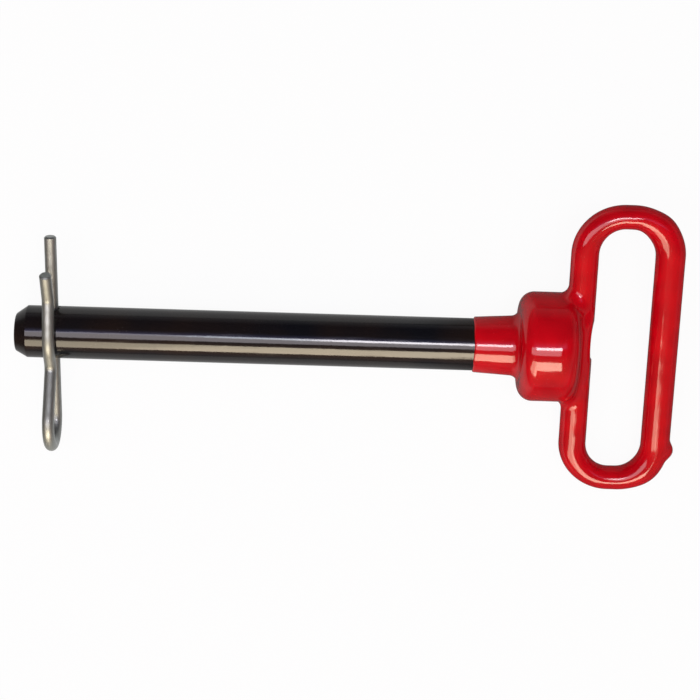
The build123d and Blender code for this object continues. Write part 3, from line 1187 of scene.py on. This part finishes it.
class Graph:
    """Nodes of a material or a group, with short calls to add and join them."""

    def __init__(self, tree: bpy.types.NodeTree) -> None:
        """Keeps the tree that the nodes go into."""
        self.tree = tree

    def add(self, kind: str, links: dict | None = None, **values: object) -> bpy.types.Node:
        """Adds a node.

        Args:
            kind: its type.
            links: sockets that feed its inputs, by input name or number.
            values: attributes of the node, or values of its inputs by name with _ for a space.

        Returns:
            The node.
        """
        node = self.tree.nodes.new(kind)
        for name, value in values.items():
            if hasattr(node, name):
                setattr(node, name, value)
        for name, value in values.items():
            if not hasattr(node, name):
                node.inputs[name.replace("_", " ")].default_value = value
        for name, socket in (links or {}).items():
            self.tree.links.new(socket, node.inputs[name])
        return node

    def maths(self, operation: str, *terms: object) -> bpy.types.NodeSocket:
        """Adds a sum on sockets and numbers.

        Args:
            operation: its operation.
            terms: its terms, each a socket or a number.

        Returns:
            The socket with its result.
        """
        node = self.tree.nodes.new("ShaderNodeMath")
        node.operation = operation
        for socket, term in zip(node.inputs, terms):
            if isinstance(term, bpy.types.NodeSocket):
                self.tree.links.new(term, socket)
            else:
                socket.default_value = term
        return node.outputs[0]

    def between(self, share: bpy.types.NodeSocket, low: object, high: object) -> bpy.types.NodeSocket:
        """Adds a mix of two colours.

        Args:
            share: how much of the second, from 0 to 1.
            low: first colour, as a tuple or a socket.
            high: second colour.

        Returns:
            The socket with the colour.
        """
        node = self.tree.nodes.new("ShaderNodeMix")
        node.data_type = "RGBA"
        for name, colour in (("A", low), ("B", high)):
            if isinstance(colour, bpy.types.NodeSocket):
                self.tree.links.new(colour, node.inputs[name])
            else:
                node.inputs[name].default_value = (*colour, 1)
        self.tree.links.new(share, node.inputs["Factor"])
        return node.outputs["Result"]

    def spread(
        self, value: bpy.types.NodeSocket, low: float, high: float, to_low: float = 0.0, to_high: float = 1.0
    ) -> bpy.types.NodeSocket:
        """Adds a step that carries a value from one range to another and holds it at the ends.

        Args:
            value: the value.
            low: start of the range that it comes from.
            high: end of that range.
            to_low: start of the range that it goes to.
            to_high: end of that range.

        Returns:
            The socket with the new value.
        """
        node = self.tree.nodes.new("ShaderNodeMapRange")
        self.tree.links.new(value, node.inputs["Value"])
        ends = {"From Min": low, "From Max": high, "To Min": to_low, "To Max": to_high}
        for name, number in ends.items():
            node.inputs[name].default_value = number
        return node.outputs["Result"]


def new_group(
    name: str, inputs: dict[str, tuple[str, object]], outputs: dict[str, str]
) -> tuple[Graph, bpy.types.Node, bpy.types.Node]:
    """Empty shader node group with its sockets.

    Args:
        name: name of the group.
        inputs: socket kind and default value by name.
        outputs: socket kind by name.

    Returns:
        The group's graph, its input node and its output node.
    """
    tree = bpy.data.node_groups.new(name, "ShaderNodeTree")
    for socket, (kind, value) in inputs.items():
        made = tree.interface.new_socket(socket, in_out="INPUT", socket_type=kind)
        if value is not None:
            made.default_value = value
    for socket, kind in outputs.items():
        tree.interface.new_socket(socket, in_out="OUTPUT", socket_type=kind)
    graph = Graph(tree)
    return graph, tree.nodes.new("NodeGroupInput"), tree.nodes.new("NodeGroupOutput")


class SharedEffects:
    """Node groups that more than one finish uses."""

    def __init__(self) -> None:
        """Builds each group once."""
        self.unevenness = self.make_unevenness()
        self.fine_lines = self.make_fine_lines()
        self.dust = self.make_dust()

    @staticmethod
    def make_unevenness(finer: float = 4.3, low: float = 0.3, high: float = 0.7) -> bpy.types.NodeTree:
        """Slow waves with finer ones on them: a height, and a tone from 0 to 1 for colour and roughness.

        Args:
            finer: how many times smaller the finer waves are.
            low: noise at which the tone is 0.
            high: noise at which it is 1.

        Returns:
            The group.
        """
        graph, given, out = new_group(
            "unevenness",
            {
                "Vector": ("NodeSocketVector", None),
                "Scale": ("NodeSocketFloat", 100.0),
                "Fine Share": ("NodeSocketFloat", 0.3),
            },
            {"Height": "NodeSocketFloat", "Tone": "NodeSocketFloat"},
        )
        spot, scale = given.outputs["Vector"], given.outputs["Scale"]
        slow = graph.add("ShaderNodeTexNoise", {"Vector": spot, "Scale": scale}, Detail=1.0)
        small = graph.maths("MULTIPLY", scale, finer)
        fine = graph.add("ShaderNodeTexNoise", {"Vector": spot, "Scale": small}, Detail=2.0)
        added = graph.maths("MULTIPLY", fine.outputs["Fac"], given.outputs["Fine Share"])
        graph.tree.links.new(graph.maths("ADD", slow.outputs["Fac"], added), out.inputs["Height"])
        graph.tree.links.new(graph.spread(slow.outputs["Fac"], low, high), out.inputs["Tone"])
        return graph.tree

    @staticmethod
    def make_fine_lines(low: float = 0.52, high: float = 0.7) -> bpy.types.NodeTree:
        """Fine lines along a piece, as drawing and turning leave them: noise stretched by a vector's scale.

        Args:
            low: noise at which the lines start.
            high: noise at which they are full.

        Returns:
            The group.
        """
        graph, given, out = new_group(
            "fine_lines",
            {
                "Vector": ("NodeSocketVector", None),
                "Stretch": ("NodeSocketVector", (1.0, 1.0, 1.0)),
                "Scale": ("NodeSocketFloat", 1000.0),
            },
            {"Height": "NodeSocketFloat", "Mask": "NodeSocketFloat"},
        )
        factors = {0: given.outputs["Vector"], 1: given.outputs["Stretch"]}
        stretched = graph.add("ShaderNodeVectorMath", factors, operation="MULTIPLY")
        lines = graph.add(
            "ShaderNodeTexNoise", {"Vector": stretched.outputs[0], "Scale": given.outputs["Scale"]},
            Detail=3.0, Roughness=0.6,
        )
        graph.tree.links.new(lines.outputs["Fac"], out.inputs["Height"])
        graph.tree.links.new(graph.spread(lines.outputs["Fac"], low, high), out.inputs["Mask"])
        return graph.tree

    @staticmethod
    def make_dust(patch_scale: float = 60.0, thinned: float = 0.52) -> bpy.types.NodeTree:
        """Sparse small specks: the near places of a cell pattern, thinned out by slow noise.

        Args:
            patch_scale: scale of that noise.
            thinned: noise below which there are no specks.

        Returns:
            The group.
        """
        graph, given, out = new_group(
            "dust",
            {
                "Vector": ("NodeSocketVector", None),
                "Scale": ("NodeSocketFloat", 700.0),
                "Size": ("NodeSocketFloat", 0.12),
            },
            {"Mask": "NodeSocketFloat"},
        )
        cells = graph.add(
            "ShaderNodeTexVoronoi", {"Vector": given.outputs["Vector"], "Scale": given.outputs["Scale"]}
        )
        near = graph.maths("LESS_THAN", cells.outputs["Distance"], given.outputs["Size"])
        patches = graph.add("ShaderNodeTexNoise", {"Vector": given.outputs["Vector"]}, Scale=patch_scale)
        kept = graph.maths("GREATER_THAN", patches.outputs["Fac"], thinned)
        graph.tree.links.new(graph.maths("MULTIPLY", near, kept), out.inputs["Mask"])
        return graph.tree


class Finish:
    """Base of the finishes: a material with a Principled shader, and the pin's own coordinates in metres."""

    def start(self, name: str) -> tuple[bpy.types.Material, Graph, bpy.types.Node]:
        """Makes the material.

        Args:
            name: name of the material.

        Returns:
            The material, its graph and its shader.
        """
        material = bpy.data.materials.new(name)
        material.use_nodes = True
        graph = Graph(material.node_tree)
        return material, graph, material.node_tree.nodes["Principled BSDF"]

    @staticmethod
    def use(graph: Graph, group: bpy.types.NodeTree, links: dict, **values: object) -> bpy.types.Node:
        """Places a shared effect in a material.

        Args:
            graph: the material's graph.
            group: the effect.
            links: sockets that feed its inputs, by input name.
            values: values of its other inputs, by name with _ for a space.

        Returns:
            The group's node.
        """
        node = graph.tree.nodes.new("ShaderNodeGroup")
        node.node_tree = group
        for name, value in values.items():
            node.inputs[name.replace("_", " ")].default_value = value
        for name, socket in links.items():
            graph.tree.links.new(socket, node.inputs[name])
        return node

    @staticmethod
    def turned_coordinates(graph: Graph, place: PinFrame) -> bpy.types.NodeSocket:
        """Object coordinates turned so that their x runs along the shank.

        Args:
            graph: the material's graph.
            place: the pin's frame.

        Returns:
            The socket with the coordinates.
        """
        coordinates = graph.add("ShaderNodeTexCoord")
        turn = Matrix(place.axes.tolist()).to_euler()
        links = {"Vector": coordinates.outputs["Object"]}
        mapping = graph.add("ShaderNodeMapping", links, vector_type="POINT")
        mapping.inputs["Rotation"].default_value = turn
        return mapping.outputs["Vector"]


@dataclass(frozen=True)
class BlackLacquer(Finish):
    """Clear-gloss black over bar steel: fine lines along the bar, slow waves and a little dust.

    Attributes:
        dark: colour of most of it.
        warm: colour where the black is thin.
        roughness: of the gloss.
        line_roughness: what the fine lines add to it.
        dust_roughness: what the dust adds to it.
        ior: index of the gloss.
    """

    dark: tuple[float, float, float] = (0.004, 0.0042, 0.006)
    warm: tuple[float, float, float] = (0.012, 0.007, 0.005)
    roughness: float = 0.1
    line_roughness: float = 0.1
    dust_roughness: float = 0.25
    ior: float = 1.6

    def make(self, place: PinFrame, effects: SharedEffects) -> bpy.types.Material:
        """Builds the material.

        Args:
            place: the pin's frame.
            effects: the shared effects.

        Returns:
            The material.
        """
        material, graph, shader = self.start("black_lacquer")
        spot = self.turned_coordinates(graph, place)
        waves = self.use(graph, effects.unevenness, {"Vector": spot}, Scale=45.0, Fine_Share=0.25)
        peel = self.use(graph, effects.unevenness, {"Vector": spot}, Scale=330.0, Fine_Share=0.4)
        lines = self.use(graph, effects.fine_lines, {"Vector": spot}, Stretch=(0.06, 1.0, 1.0), Scale=900.0)
        dust = self.use(graph, effects.dust, {"Vector": spot}, Scale=900.0, Size=0.1)
        colour = graph.between(waves.outputs["Tone"], self.dark, self.warm)
        graph.tree.links.new(colour, shader.inputs["Base Color"])
        lined = self.roughness + self.line_roughness
        gloss = graph.spread(lines.outputs["Mask"], 0.0, 1.0, self.roughness, lined)
        dusty = graph.maths("MULTIPLY", dust.outputs["Mask"], self.dust_roughness)
        rough = graph.maths("ADD", gloss, dusty)
        graph.tree.links.new(rough, shader.inputs["Roughness"])
        shader.inputs["IOR"].default_value = self.ior
        slow = graph.add(
            "ShaderNodeBump", {"Height": waves.outputs["Height"]}, Strength=0.25, Distance=0.00012
        )
        medium = graph.add(
            "ShaderNodeBump", {"Height": peel.outputs["Height"], "Normal": slow.outputs["Normal"]},
            Strength=0.5, Distance=0.00003,
        )
        fine = graph.add(
            "ShaderNodeBump", {"Height": lines.outputs["Height"], "Normal": medium.outputs["Normal"]},
            Strength=0.3, Distance=0.000015,
        )
        graph.tree.links.new(fine.outputs["Normal"], shader.inputs["Normal"])
        return material


@dataclass(frozen=True)
class RedDip(Finish):
    """Soft dipped coating: saturated red, very glossy, with slow waves where it ran and settled.

    Attributes:
        red: colour of most of it.
        deep: colour where it is thick.
        roughness: of the gloss.
        dust_roughness: what the dust adds to it.
        ior: index of the coating.
    """

    red: tuple[float, float, float] = (0.6, 0.0015, 0.0075)
    deep: tuple[float, float, float] = (0.46, 0.001, 0.006)
    roughness: float = 0.09
    dust_roughness: float = 0.2
    ior: float = 1.55

    def make(self, place: PinFrame, effects: SharedEffects) -> bpy.types.Material:
        """Builds the material.

        Args:
            place: the pin's frame.
            effects: the shared effects.

        Returns:
            The material.
        """
        material, graph, shader = self.start("red_dip")
        spot = self.turned_coordinates(graph, place)
        waves = self.use(graph, effects.unevenness, {"Vector": spot}, Scale=110.0, Fine_Share=0.15)
        dust = self.use(graph, effects.dust, {"Vector": spot}, Scale=650.0, Size=0.09)
        colour = graph.between(waves.outputs["Tone"], self.red, self.deep)
        graph.tree.links.new(colour, shader.inputs["Base Color"])
        dusty = graph.maths("MULTIPLY", dust.outputs["Mask"], self.dust_roughness)
        rough = graph.maths("ADD", dusty, self.roughness)
        graph.tree.links.new(rough, shader.inputs["Roughness"])
        shader.inputs["IOR"].default_value = self.ior
        slow = graph.add(
            "ShaderNodeBump", {"Height": waves.outputs["Height"]}, Strength=0.35, Distance=0.00012
        )
        graph.tree.links.new(slow.outputs["Normal"], shader.inputs["Normal"])
        return material


@dataclass(frozen=True)
class PlatedWire(Finish):
    """Zinc over drawn spring wire: a grey with hardly any cast, lined along the wire.

    Attributes:
        bright: colour of the clean plate.
        dull: colour where it has dulled.
        roughness: of the plate.
        roughness_range: how far it goes below that where clean, and above it where dull.
        patch_share: how much of the tone comes from the patches.
        line_share: how much of it comes from the lines.
        film: weight of the clear passivated film over it.
        film_roughness: of that film.
    """

    bright: tuple[float, float, float] = (0.425, 0.45, 0.43)
    dull: tuple[float, float, float] = (0.29, 0.302, 0.278)
    roughness: float = 0.52
    roughness_range: tuple[float, float] = (0.05, 0.12)
    patch_share: float = 0.6
    line_share: float = 0.4
    film: float = 0.85
    film_roughness: float = 0.12

    def make(self, place: PinFrame, effects: SharedEffects) -> bpy.types.Material:
        """Builds the material.

        Args:
            place: the pin's frame.
            effects: the shared effects.

        Returns:
            The material.
        """
        material, graph, shader = self.start("plated_wire")
        along = graph.add("ShaderNodeUVMap", uv_map="Along")
        spot = self.turned_coordinates(graph, place)
        lines = self.use(
            graph, effects.fine_lines, {"Vector": along.outputs["UV"]}, Stretch=(0.06, 1.0, 1.0), Scale=5.0
        )
        waves = self.use(graph, effects.unevenness, {"Vector": spot}, Scale=260.0, Fine_Share=0.5)
        tone = graph.maths("MULTIPLY", waves.outputs["Tone"], self.patch_share)
        tone = graph.maths("ADD", tone, graph.maths("MULTIPLY", lines.outputs["Mask"], self.line_share))
        graph.tree.links.new(graph.between(tone, self.bright, self.dull), shader.inputs["Base Color"])
        shader.inputs["Metallic"].default_value = 1.0
        shader.inputs["Coat Weight"].default_value = self.film
        shader.inputs["Coat Roughness"].default_value = self.film_roughness
        below, above = self.roughness_range
        rough = graph.spread(tone, 0.0, 1.0, self.roughness - below, self.roughness + above)
        graph.tree.links.new(rough, shader.inputs["Roughness"])
        bump = graph.add(
            "ShaderNodeBump", {"Height": lines.outputs["Height"]}, Strength=0.35, Distance=0.00004
        )
        second = graph.add(
            "ShaderNodeBump", {"Height": waves.outputs["Height"], "Normal": bump.outputs["Normal"]},
            Strength=0.3, Distance=0.0001,
        )
        graph.tree.links.new(second.outputs["Normal"], shader.inputs["Normal"])
        return material


@dataclass(frozen=True)
class BareSteel(Finish):
    """Bare rod and weld metal under the coating: drawn grey steel, heat-dulled at the weld.

    Attributes:
        name: name of the material.
        clean: colour of the drawn rod.
        scaled: colour of scale and heat tint.
        roughness: of the metal.
        line_roughness: what the drawn lines add to it.
        ripple: height of the weld's ripples, in metres.
    """

    name: str
    clean: tuple[float, float, float] = (0.36, 0.35, 0.33)
    scaled: tuple[float, float, float] = (0.12, 0.1, 0.09)
    roughness: float = 0.38
    line_roughness: float = 0.2
    ripple: float = 0.00005

    def make(self, place: PinFrame, effects: SharedEffects) -> bpy.types.Material:
        """Builds the material.

        Args:
            place: the pin's frame.
            effects: the shared effects.

        Returns:
            The material.
        """
        material, graph, shader = self.start(self.name)
        spot = self.turned_coordinates(graph, place)
        waves = self.use(graph, effects.unevenness, {"Vector": spot}, Scale=180.0, Fine_Share=0.8)
        lines = self.use(graph, effects.fine_lines, {"Vector": spot}, Stretch=(1.0, 0.08, 1.0), Scale=1100.0)
        colour = graph.between(waves.outputs["Tone"], self.clean, self.scaled)
        graph.tree.links.new(colour, shader.inputs["Base Color"])
        shader.inputs["Metallic"].default_value = 1.0
        lined = self.roughness + self.line_roughness
        rough = graph.spread(lines.outputs["Mask"], 0.0, 1.0, self.roughness, lined)
        graph.tree.links.new(rough, shader.inputs["Roughness"])
        bump = graph.add(
            "ShaderNodeBump", {"Height": waves.outputs["Height"]}, Strength=0.6, Distance=self.ripple
        )
        graph.tree.links.new(bump.outputs["Normal"], shader.inputs["Normal"])
        return material


@dataclass
class HandleCore:
    """The bent rod and its weld, which stay as their solids under the coating.

    Attributes:
        rod_finish: finish of the rod.
        weld_finish: finish of the weld.
    """

    rod_finish: BareSteel = field(default_factory=lambda: BareSteel("drawn_rod"))
    weld_finish: BareSteel = field(
        default_factory=lambda: BareSteel("weld_metal", clean=(0.26, 0.24, 0.22), ripple=0.0002)
    )

    def dress(self, place: PinFrame, effects: SharedEffects) -> None:
        """Gives both solids their finish.

        Args:
            place: the pin's frame.
            effects: the shared effects.
        """
        for node, finish in (("handle_loop", self.rod_finish), ("handle_weld", self.weld_finish)):
            solid = frame["nodes"][node]
            solid.data.materials.clear()
            solid.data.materials.append(finish.make(place, effects))


# ---------------------------------------------------------------------------------------------------------
# Studio


@dataclass(frozen=True)
class SoftBox:
    """A rectangular lamp that faces the object.

    Attributes:
        name: name of the lamp.
        centre: middle of its face, in metres.
        size: its width and height.
        colour: colour of its light.
        radiance: brightness of its face.
        aim: the point that it faces.
        reach: what it adds to.
    """

    name: str
    centre: tuple[float, float, float]
    size: tuple[float, float]
    colour: tuple[float, float, float]
    radiance: float
    aim: tuple[float, float, float] = (0.0, 0.0, 0.0)
    reach: Reach = Reach.ALL

    def place(self) -> None:
        """Makes the lamp: its power is pi times its area times its radiance."""
        data = bpy.data.lights.new(self.name, "AREA")
        data.shape = "RECTANGLE"
        data.size, data.size_y = self.size
        data.energy = pi * self.size[0] * self.size[1] * self.radiance
        data.color = self.colour
        lamp = bpy.data.objects.new(self.name, data)
        lamp.location = self.centre
        back = Vector(self.centre) - Vector(self.aim)
        across = Vector((1, 0, 0))
        up = back.cross(across).normalized()
        turn = Matrix((across, up, back.normalized())).transposed()
        lamp.matrix_world = Matrix.Translation(self.centre) @ turn.to_4x4()
        lamp.visible_camera = False
        lamp.visible_diffuse = self.reach is not Reach.GLOSS
        lamp.visible_glossy = self.reach is not Reach.MATT
        bpy.context.scene.collection.objects.link(lamp)


@dataclass
class Studio:
    """Pale floor, dim surroundings, soft boxes and camera.

    Attributes:
        boxes: the lamps.
        ambient: colour of the surroundings overhead.
        horizon: colour of the surroundings at eye level.
        floor_colour: colour of the floor.
        warm_wall: colour of the surroundings on the warm lamp's side.
        night_glow: colour of the dim light beside the overhead lamps.
        floor_glow: share of the floor that the camera always sees as white.
        painted_floor_reflection: painted grey of the floor's glow in reflections, beside the object and far
            from it.
        floor_fade: distances between which that painted grey goes from the first to the second.
        tip_side_shade: share left past the pin's tip of that grey, as painted shade, and of the horizon's.
        tip_fade: places along x between which the floor comes back from it.
        behind_tip_fade: x of the directions between which the horizon comes back from it.
        painted_handle_shade: share of that grey that is left round the handle, as painted shade.
        handle_fade: places along x between which the floor goes down to it.
        warm_fade: y of the directions between which the warm wall comes up.
        beside_fade: y of the directions between which the dim light comes up behind the overhead lamps.
        front_fade: y of the directions between which it comes up in front of them.
        overhead_fade: z of the directions between which it comes up.
        beside_power: power of its rise behind the lamps.
        eye_level_fade: z of the directions between which the horizon gives way to the rest.
        floor_rings: radii of the floor's rings inside its rim, in metres.
        floor_sides: number of columns round the floor.
        floor_drop: how far it lies below the height that the pin rests at, in metres.
        floor_radius: size of the floor, in metres.
        camera_from: place of the camera.
        camera_at: the point at its picture's centre.
        camera_up: direction that is up in its picture.
        focal_length: in millimetres.
        picture_width: in millimetres.
        seen_from_to: nearest and farthest distance that the camera sees, in metres.
    """

    boxes: tuple[SoftBox, ...] = (
        SoftBox(
            "cool_overhead", (-0.5, -0.135, 1.2), (1.4, 0.51),
            (1.0, 0.92, 0.97), 3.0, (-0.5, -0.135, 0.0),
        ),
        SoftBox(
            "white_overhead", (0.085, 0.03, 1.19), (0.35, 0.15),
            (1.0, 0.96, 1.0), 15.0, (0.085, 0.03, 0.0),
        ),
        SoftBox(
            "blue_overhead", (-0.145, 0.045, 1.19), (0.11, 0.12),
            (0.8, 0.92, 1.0), 6.0, (-0.145, 0.045, 0.0),
        ),
        SoftBox(
            "warm_left", (-0.65, -1.2, 1.13), (0.8, 1.14),
            (1.0, 0.88, 0.66), 4.8, (-0.65, 0.0, 1.13), Reach.GLOSS,
        ),
        SoftBox(
            "warm_middle", (-0.075, -1.2, 1.13), (0.35, 1.14),
            (1.0, 0.86, 0.64), 7.8, (-0.075, 0.0, 1.13), Reach.GLOSS,
        ),
        SoftBox(
            "warm_right", (0.3, -1.2, 1.24), (0.4, 0.76),
            (1.0, 0.86, 0.66), 9.0, (0.3, 0.0, 1.24), Reach.GLOSS,
        ),
        SoftBox(
            "warm_fill", (-0.3, -1.2, 1.3), (1.5, 1.0),
            (1.0, 0.86, 0.7), 2.2, (0.0, 0.0, 0.0), Reach.MATT,
        ),
        SoftBox(
            "top_fill", (0.1, 0.1, 1.3), (1.6, 1.0),
            (0.95, 0.96, 1.0), 0.85, (0.0, 0.0, 0.0), Reach.MATT,
        ),
    )
    ambient: tuple[float, float, float] = (0.035, 0.033, 0.042)
    horizon: tuple[float, float, float] = (0.24, 0.235, 0.25)
    warm_wall: tuple[float, float, float] = (0.46, 0.27, 0.19)
    night_glow: tuple[float, float, float] = (0.45, 0.5, 1.05)
    floor_colour: tuple[float, float, float] = (0.8, 0.8, 0.8)
    floor_glow: float = 0.94
    painted_floor_reflection: tuple[float, float] = (0.5, 0.22)
    floor_fade: tuple[float, float] = (0.12, 0.6)
    tip_side_shade: float = 0.2
    tip_fade: tuple[float, float] = (-0.2, -0.12)
    behind_tip_fade: tuple[float, float] = (-0.75, -0.3)
    painted_handle_shade: float = 0.25
    handle_fade: tuple[float, float] = (0.025, 0.06)
    warm_fade: tuple[float, float] = (-0.15, -0.8)
    beside_fade: tuple[float, float] = (0.42, 0.1)
    front_fade: tuple[float, float] = (-0.02, 0.06)
    overhead_fade: tuple[float, float] = (0.75, 0.92)
    beside_power: float = 2.0
    eye_level_fade: tuple[float, float] = (0.0, 0.4)
    floor_rings: tuple[float, ...] = (0.0, 0.2, 0.5, 1.0, 2.0, 4.0)
    floor_sides: int = 96
    floor_drop: float = 0.0002
    floor_radius: float = 9.0
    camera_from: tuple[float, float, float] = (-0.046468, 0.060954, 0.762272)
    camera_at: tuple[float, float, float] = (0.001145, -0.002984, 0.015)
    camera_up: tuple[float, float, float] = (-0.024889, 0.995915, -0.086798)
    focal_length: float = 106.077
    picture_width: float = 36.0
    seen_from_to: tuple[float, float] = (0.01, 50.0)

    def lay_floor(self) -> bpy.types.Object:
        """Round floor at the height that the pin lies on: part of it is lit, and part glows.

        The second part is seen by the camera, in gloss and through clear matter, and lights nothing. In
        gloss it is all glow: a painted grey that fades with distance, with painted shade past the pin's tip
        and round the handle. The object's shadow shows in the first part.

        Returns:
            The floor.
        """
        rings = np.array([*self.floor_rings, self.floor_radius])[:, None]
        turn = np.arange(self.floor_sides) * 2 * pi / self.floor_sides
        points = np.stack(
            np.broadcast_arrays(rings * np.cos(turn), rings * np.sin(turn), -self.floor_drop), axis=-1
        ).reshape(-1, 3)
        quads = grid_quads(len(rings), self.floor_sides, closed=True)[:, ::-1]
        mesh = bpy.data.meshes.new("floor")
        mesh.from_pydata(points.tolist(), [], quads.tolist())
        floor = bpy.data.objects.new("floor", mesh)
        bpy.context.scene.collection.objects.link(floor)
        material = bpy.data.materials.new("pale_floor")
        material.use_nodes = True
        graph = Graph(material.node_tree)
        graph.tree.nodes.clear()
        seen = graph.add("ShaderNodeLightPath")
        camera_ray, clear_ray = seen.outputs["Is Camera Ray"], seen.outputs["Is Transmission Ray"]
        direct = graph.maths("MAXIMUM", camera_ray, clear_ray)
        gloss = seen.outputs["Is Glossy Ray"]
        share = graph.maths("ADD", graph.maths("MULTIPLY", direct, self.floor_glow), gloss)
        coordinates = graph.add("ShaderNodeTexCoord")
        apart = graph.add("ShaderNodeVectorMath", {0: coordinates.outputs["Object"]}, operation="LENGTH")
        # painted reflection: the grey that gloss sees in the floor, fading with distance, with painted shade
        # past the tip and round the handle
        painted_reflection_grey = graph.spread(apart.outputs["Value"], *self.floor_fade, *self.painted_floor_reflection)
        sides = graph.add("ShaderNodeSeparateXYZ", {0: coordinates.outputs["Object"]})
        shade_beyond_tip = graph.spread(sides.outputs["X"], *self.tip_fade, self.tip_side_shade, 1.0)
        shade_at_handle = graph.spread(sides.outputs["X"], *self.handle_fade, 1.0, self.painted_handle_shade)
        painted_reflection_grey = graph.maths("MULTIPLY", graph.maths("MULTIPLY", painted_reflection_grey, shade_beyond_tip), shade_at_handle)
        lit = graph.add("ShaderNodeBsdfDiffuse", Color=(*self.floor_colour, 1))
        level = graph.maths("ADD", direct, graph.maths("MULTIPLY", gloss, painted_reflection_grey))
        glow = graph.add("ShaderNodeEmission", {"Strength": level}, Color=(1, 1, 1, 1))
        mixed = graph.add("ShaderNodeMixShader", {0: share, 1: lit.outputs[0], 2: glow.outputs[0]})
        graph.add("ShaderNodeOutputMaterial", {"Surface": mixed.outputs[0]})
        mesh.materials.append(material)
        return floor

    def light(self) -> None:
        """Places the lamps, and surroundings that are pale at eye level and dim overhead."""
        for box in self.boxes:
            box.place()
        world = bpy.data.worlds.new("surroundings")
        bpy.context.scene.world = world
        world.use_nodes = True
        graph = Graph(world.node_tree)
        direction = graph.add("ShaderNodeTexCoord")
        parts = graph.add("ShaderNodeSeparateXYZ", {0: direction.outputs["Generated"]})
        x, y, z = (parts.outputs[name] for name in "XYZ")
        warm = graph.spread(y, *self.warm_fade)
        base = graph.between(warm, self.ambient, self.warm_wall)
        beside = graph.spread(y, *self.beside_fade)
        in_front = graph.spread(y, *self.front_fade)
        overhead = graph.maths("MULTIPLY", in_front, graph.spread(z, *self.overhead_fade))
        dusk = graph.maths("MULTIPLY", graph.maths("POWER", beside, self.beside_power), overhead)
        base = graph.between(dusk, base, self.night_glow)
        behind_tip = graph.spread(x, *self.behind_tip_fade)
        dark = tuple(self.tip_side_shade * part for part in self.horizon)
        low = graph.between(behind_tip, dark, self.horizon)
        share = graph.spread(z, *self.eye_level_fade)
        colour = graph.between(share, low, base)
        graph.tree.links.new(colour, world.node_tree.nodes["Background"].inputs["Color"])

    def set_camera(self) -> None:
        """Places the camera."""
        data = bpy.data.cameras.new("camera")
        data.lens, data.sensor_width = self.focal_length, self.picture_width
        data.clip_start, data.clip_end = self.seen_from_to
        camera = bpy.data.objects.new("camera", data)
        back = (Vector(self.camera_from) - Vector(self.camera_at)).normalized()
        right = Vector(self.camera_up).cross(back).normalized()
        up = back.cross(right)
        turn = Matrix((right, up, back)).transposed()
        camera.matrix_world = Matrix.Translation(self.camera_from) @ turn.to_4x4()
        bpy.context.scene.collection.objects.link(camera)
        bpy.context.scene.camera = camera

    def build(self) -> None:
        """Sets the whole studio up."""
        bpy.context.scene.view_settings.view_transform = "Standard"
        self.lay_floor()
        self.light()
        self.set_camera()


def report(piece: bpy.types.Object, node: str) -> None:
    """Logs a piece's size and how far its box is from its solid's, in millimetres.

    Args:
        piece: the piece.
        node: name of its solid.
    """
    low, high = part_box(node)
    points = np.empty(len(piece.data.vertices) * 3, dtype=np.float32)
    piece.data.vertices.foreach_get("co", points)
    points = points.reshape(-1, 3)
    apart = np.concatenate([points.min(0) - np.array(low), points.max(0) - np.array(high)]) / MM
    log.info(
        "%s: %d vertices, %d faces, box off its solid's by %s mm",
        piece.name, len(piece.data.vertices), len(piece.data.polygons), np.round(apart, 2).tolist(),
    )


def main() -> None:
    """Builds the pieces in order, dresses them and lights them."""
    logging.basicConfig(level=logging.INFO, format="%(name)s: %(message)s")
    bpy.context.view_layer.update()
    sizes = PinSizes()
    clip = HairpinClip(sizes)
    place = PinFrame.from_record(frame["record"], sizes, clip.swivel)
    effects = SharedEffects()

    pin = ForgedPin(sizes).build(place)
    pin.data.materials.append(BlackLacquer().make(place, effects))
    report(pin, "forged_pin")

    skin = DippedSkin(sizes).build(place)
    skin.data.materials.append(RedDip().make(place, effects))
    report(skin, "handle_coating")

    HandleCore().dress(place, effects)

    wire = clip.build(place)
    wire.data.materials.append(PlatedWire().make(place, effects))
    report(wire, "hairpin_clip")

    Studio().build()


if __name__ == "__main__":
    main()
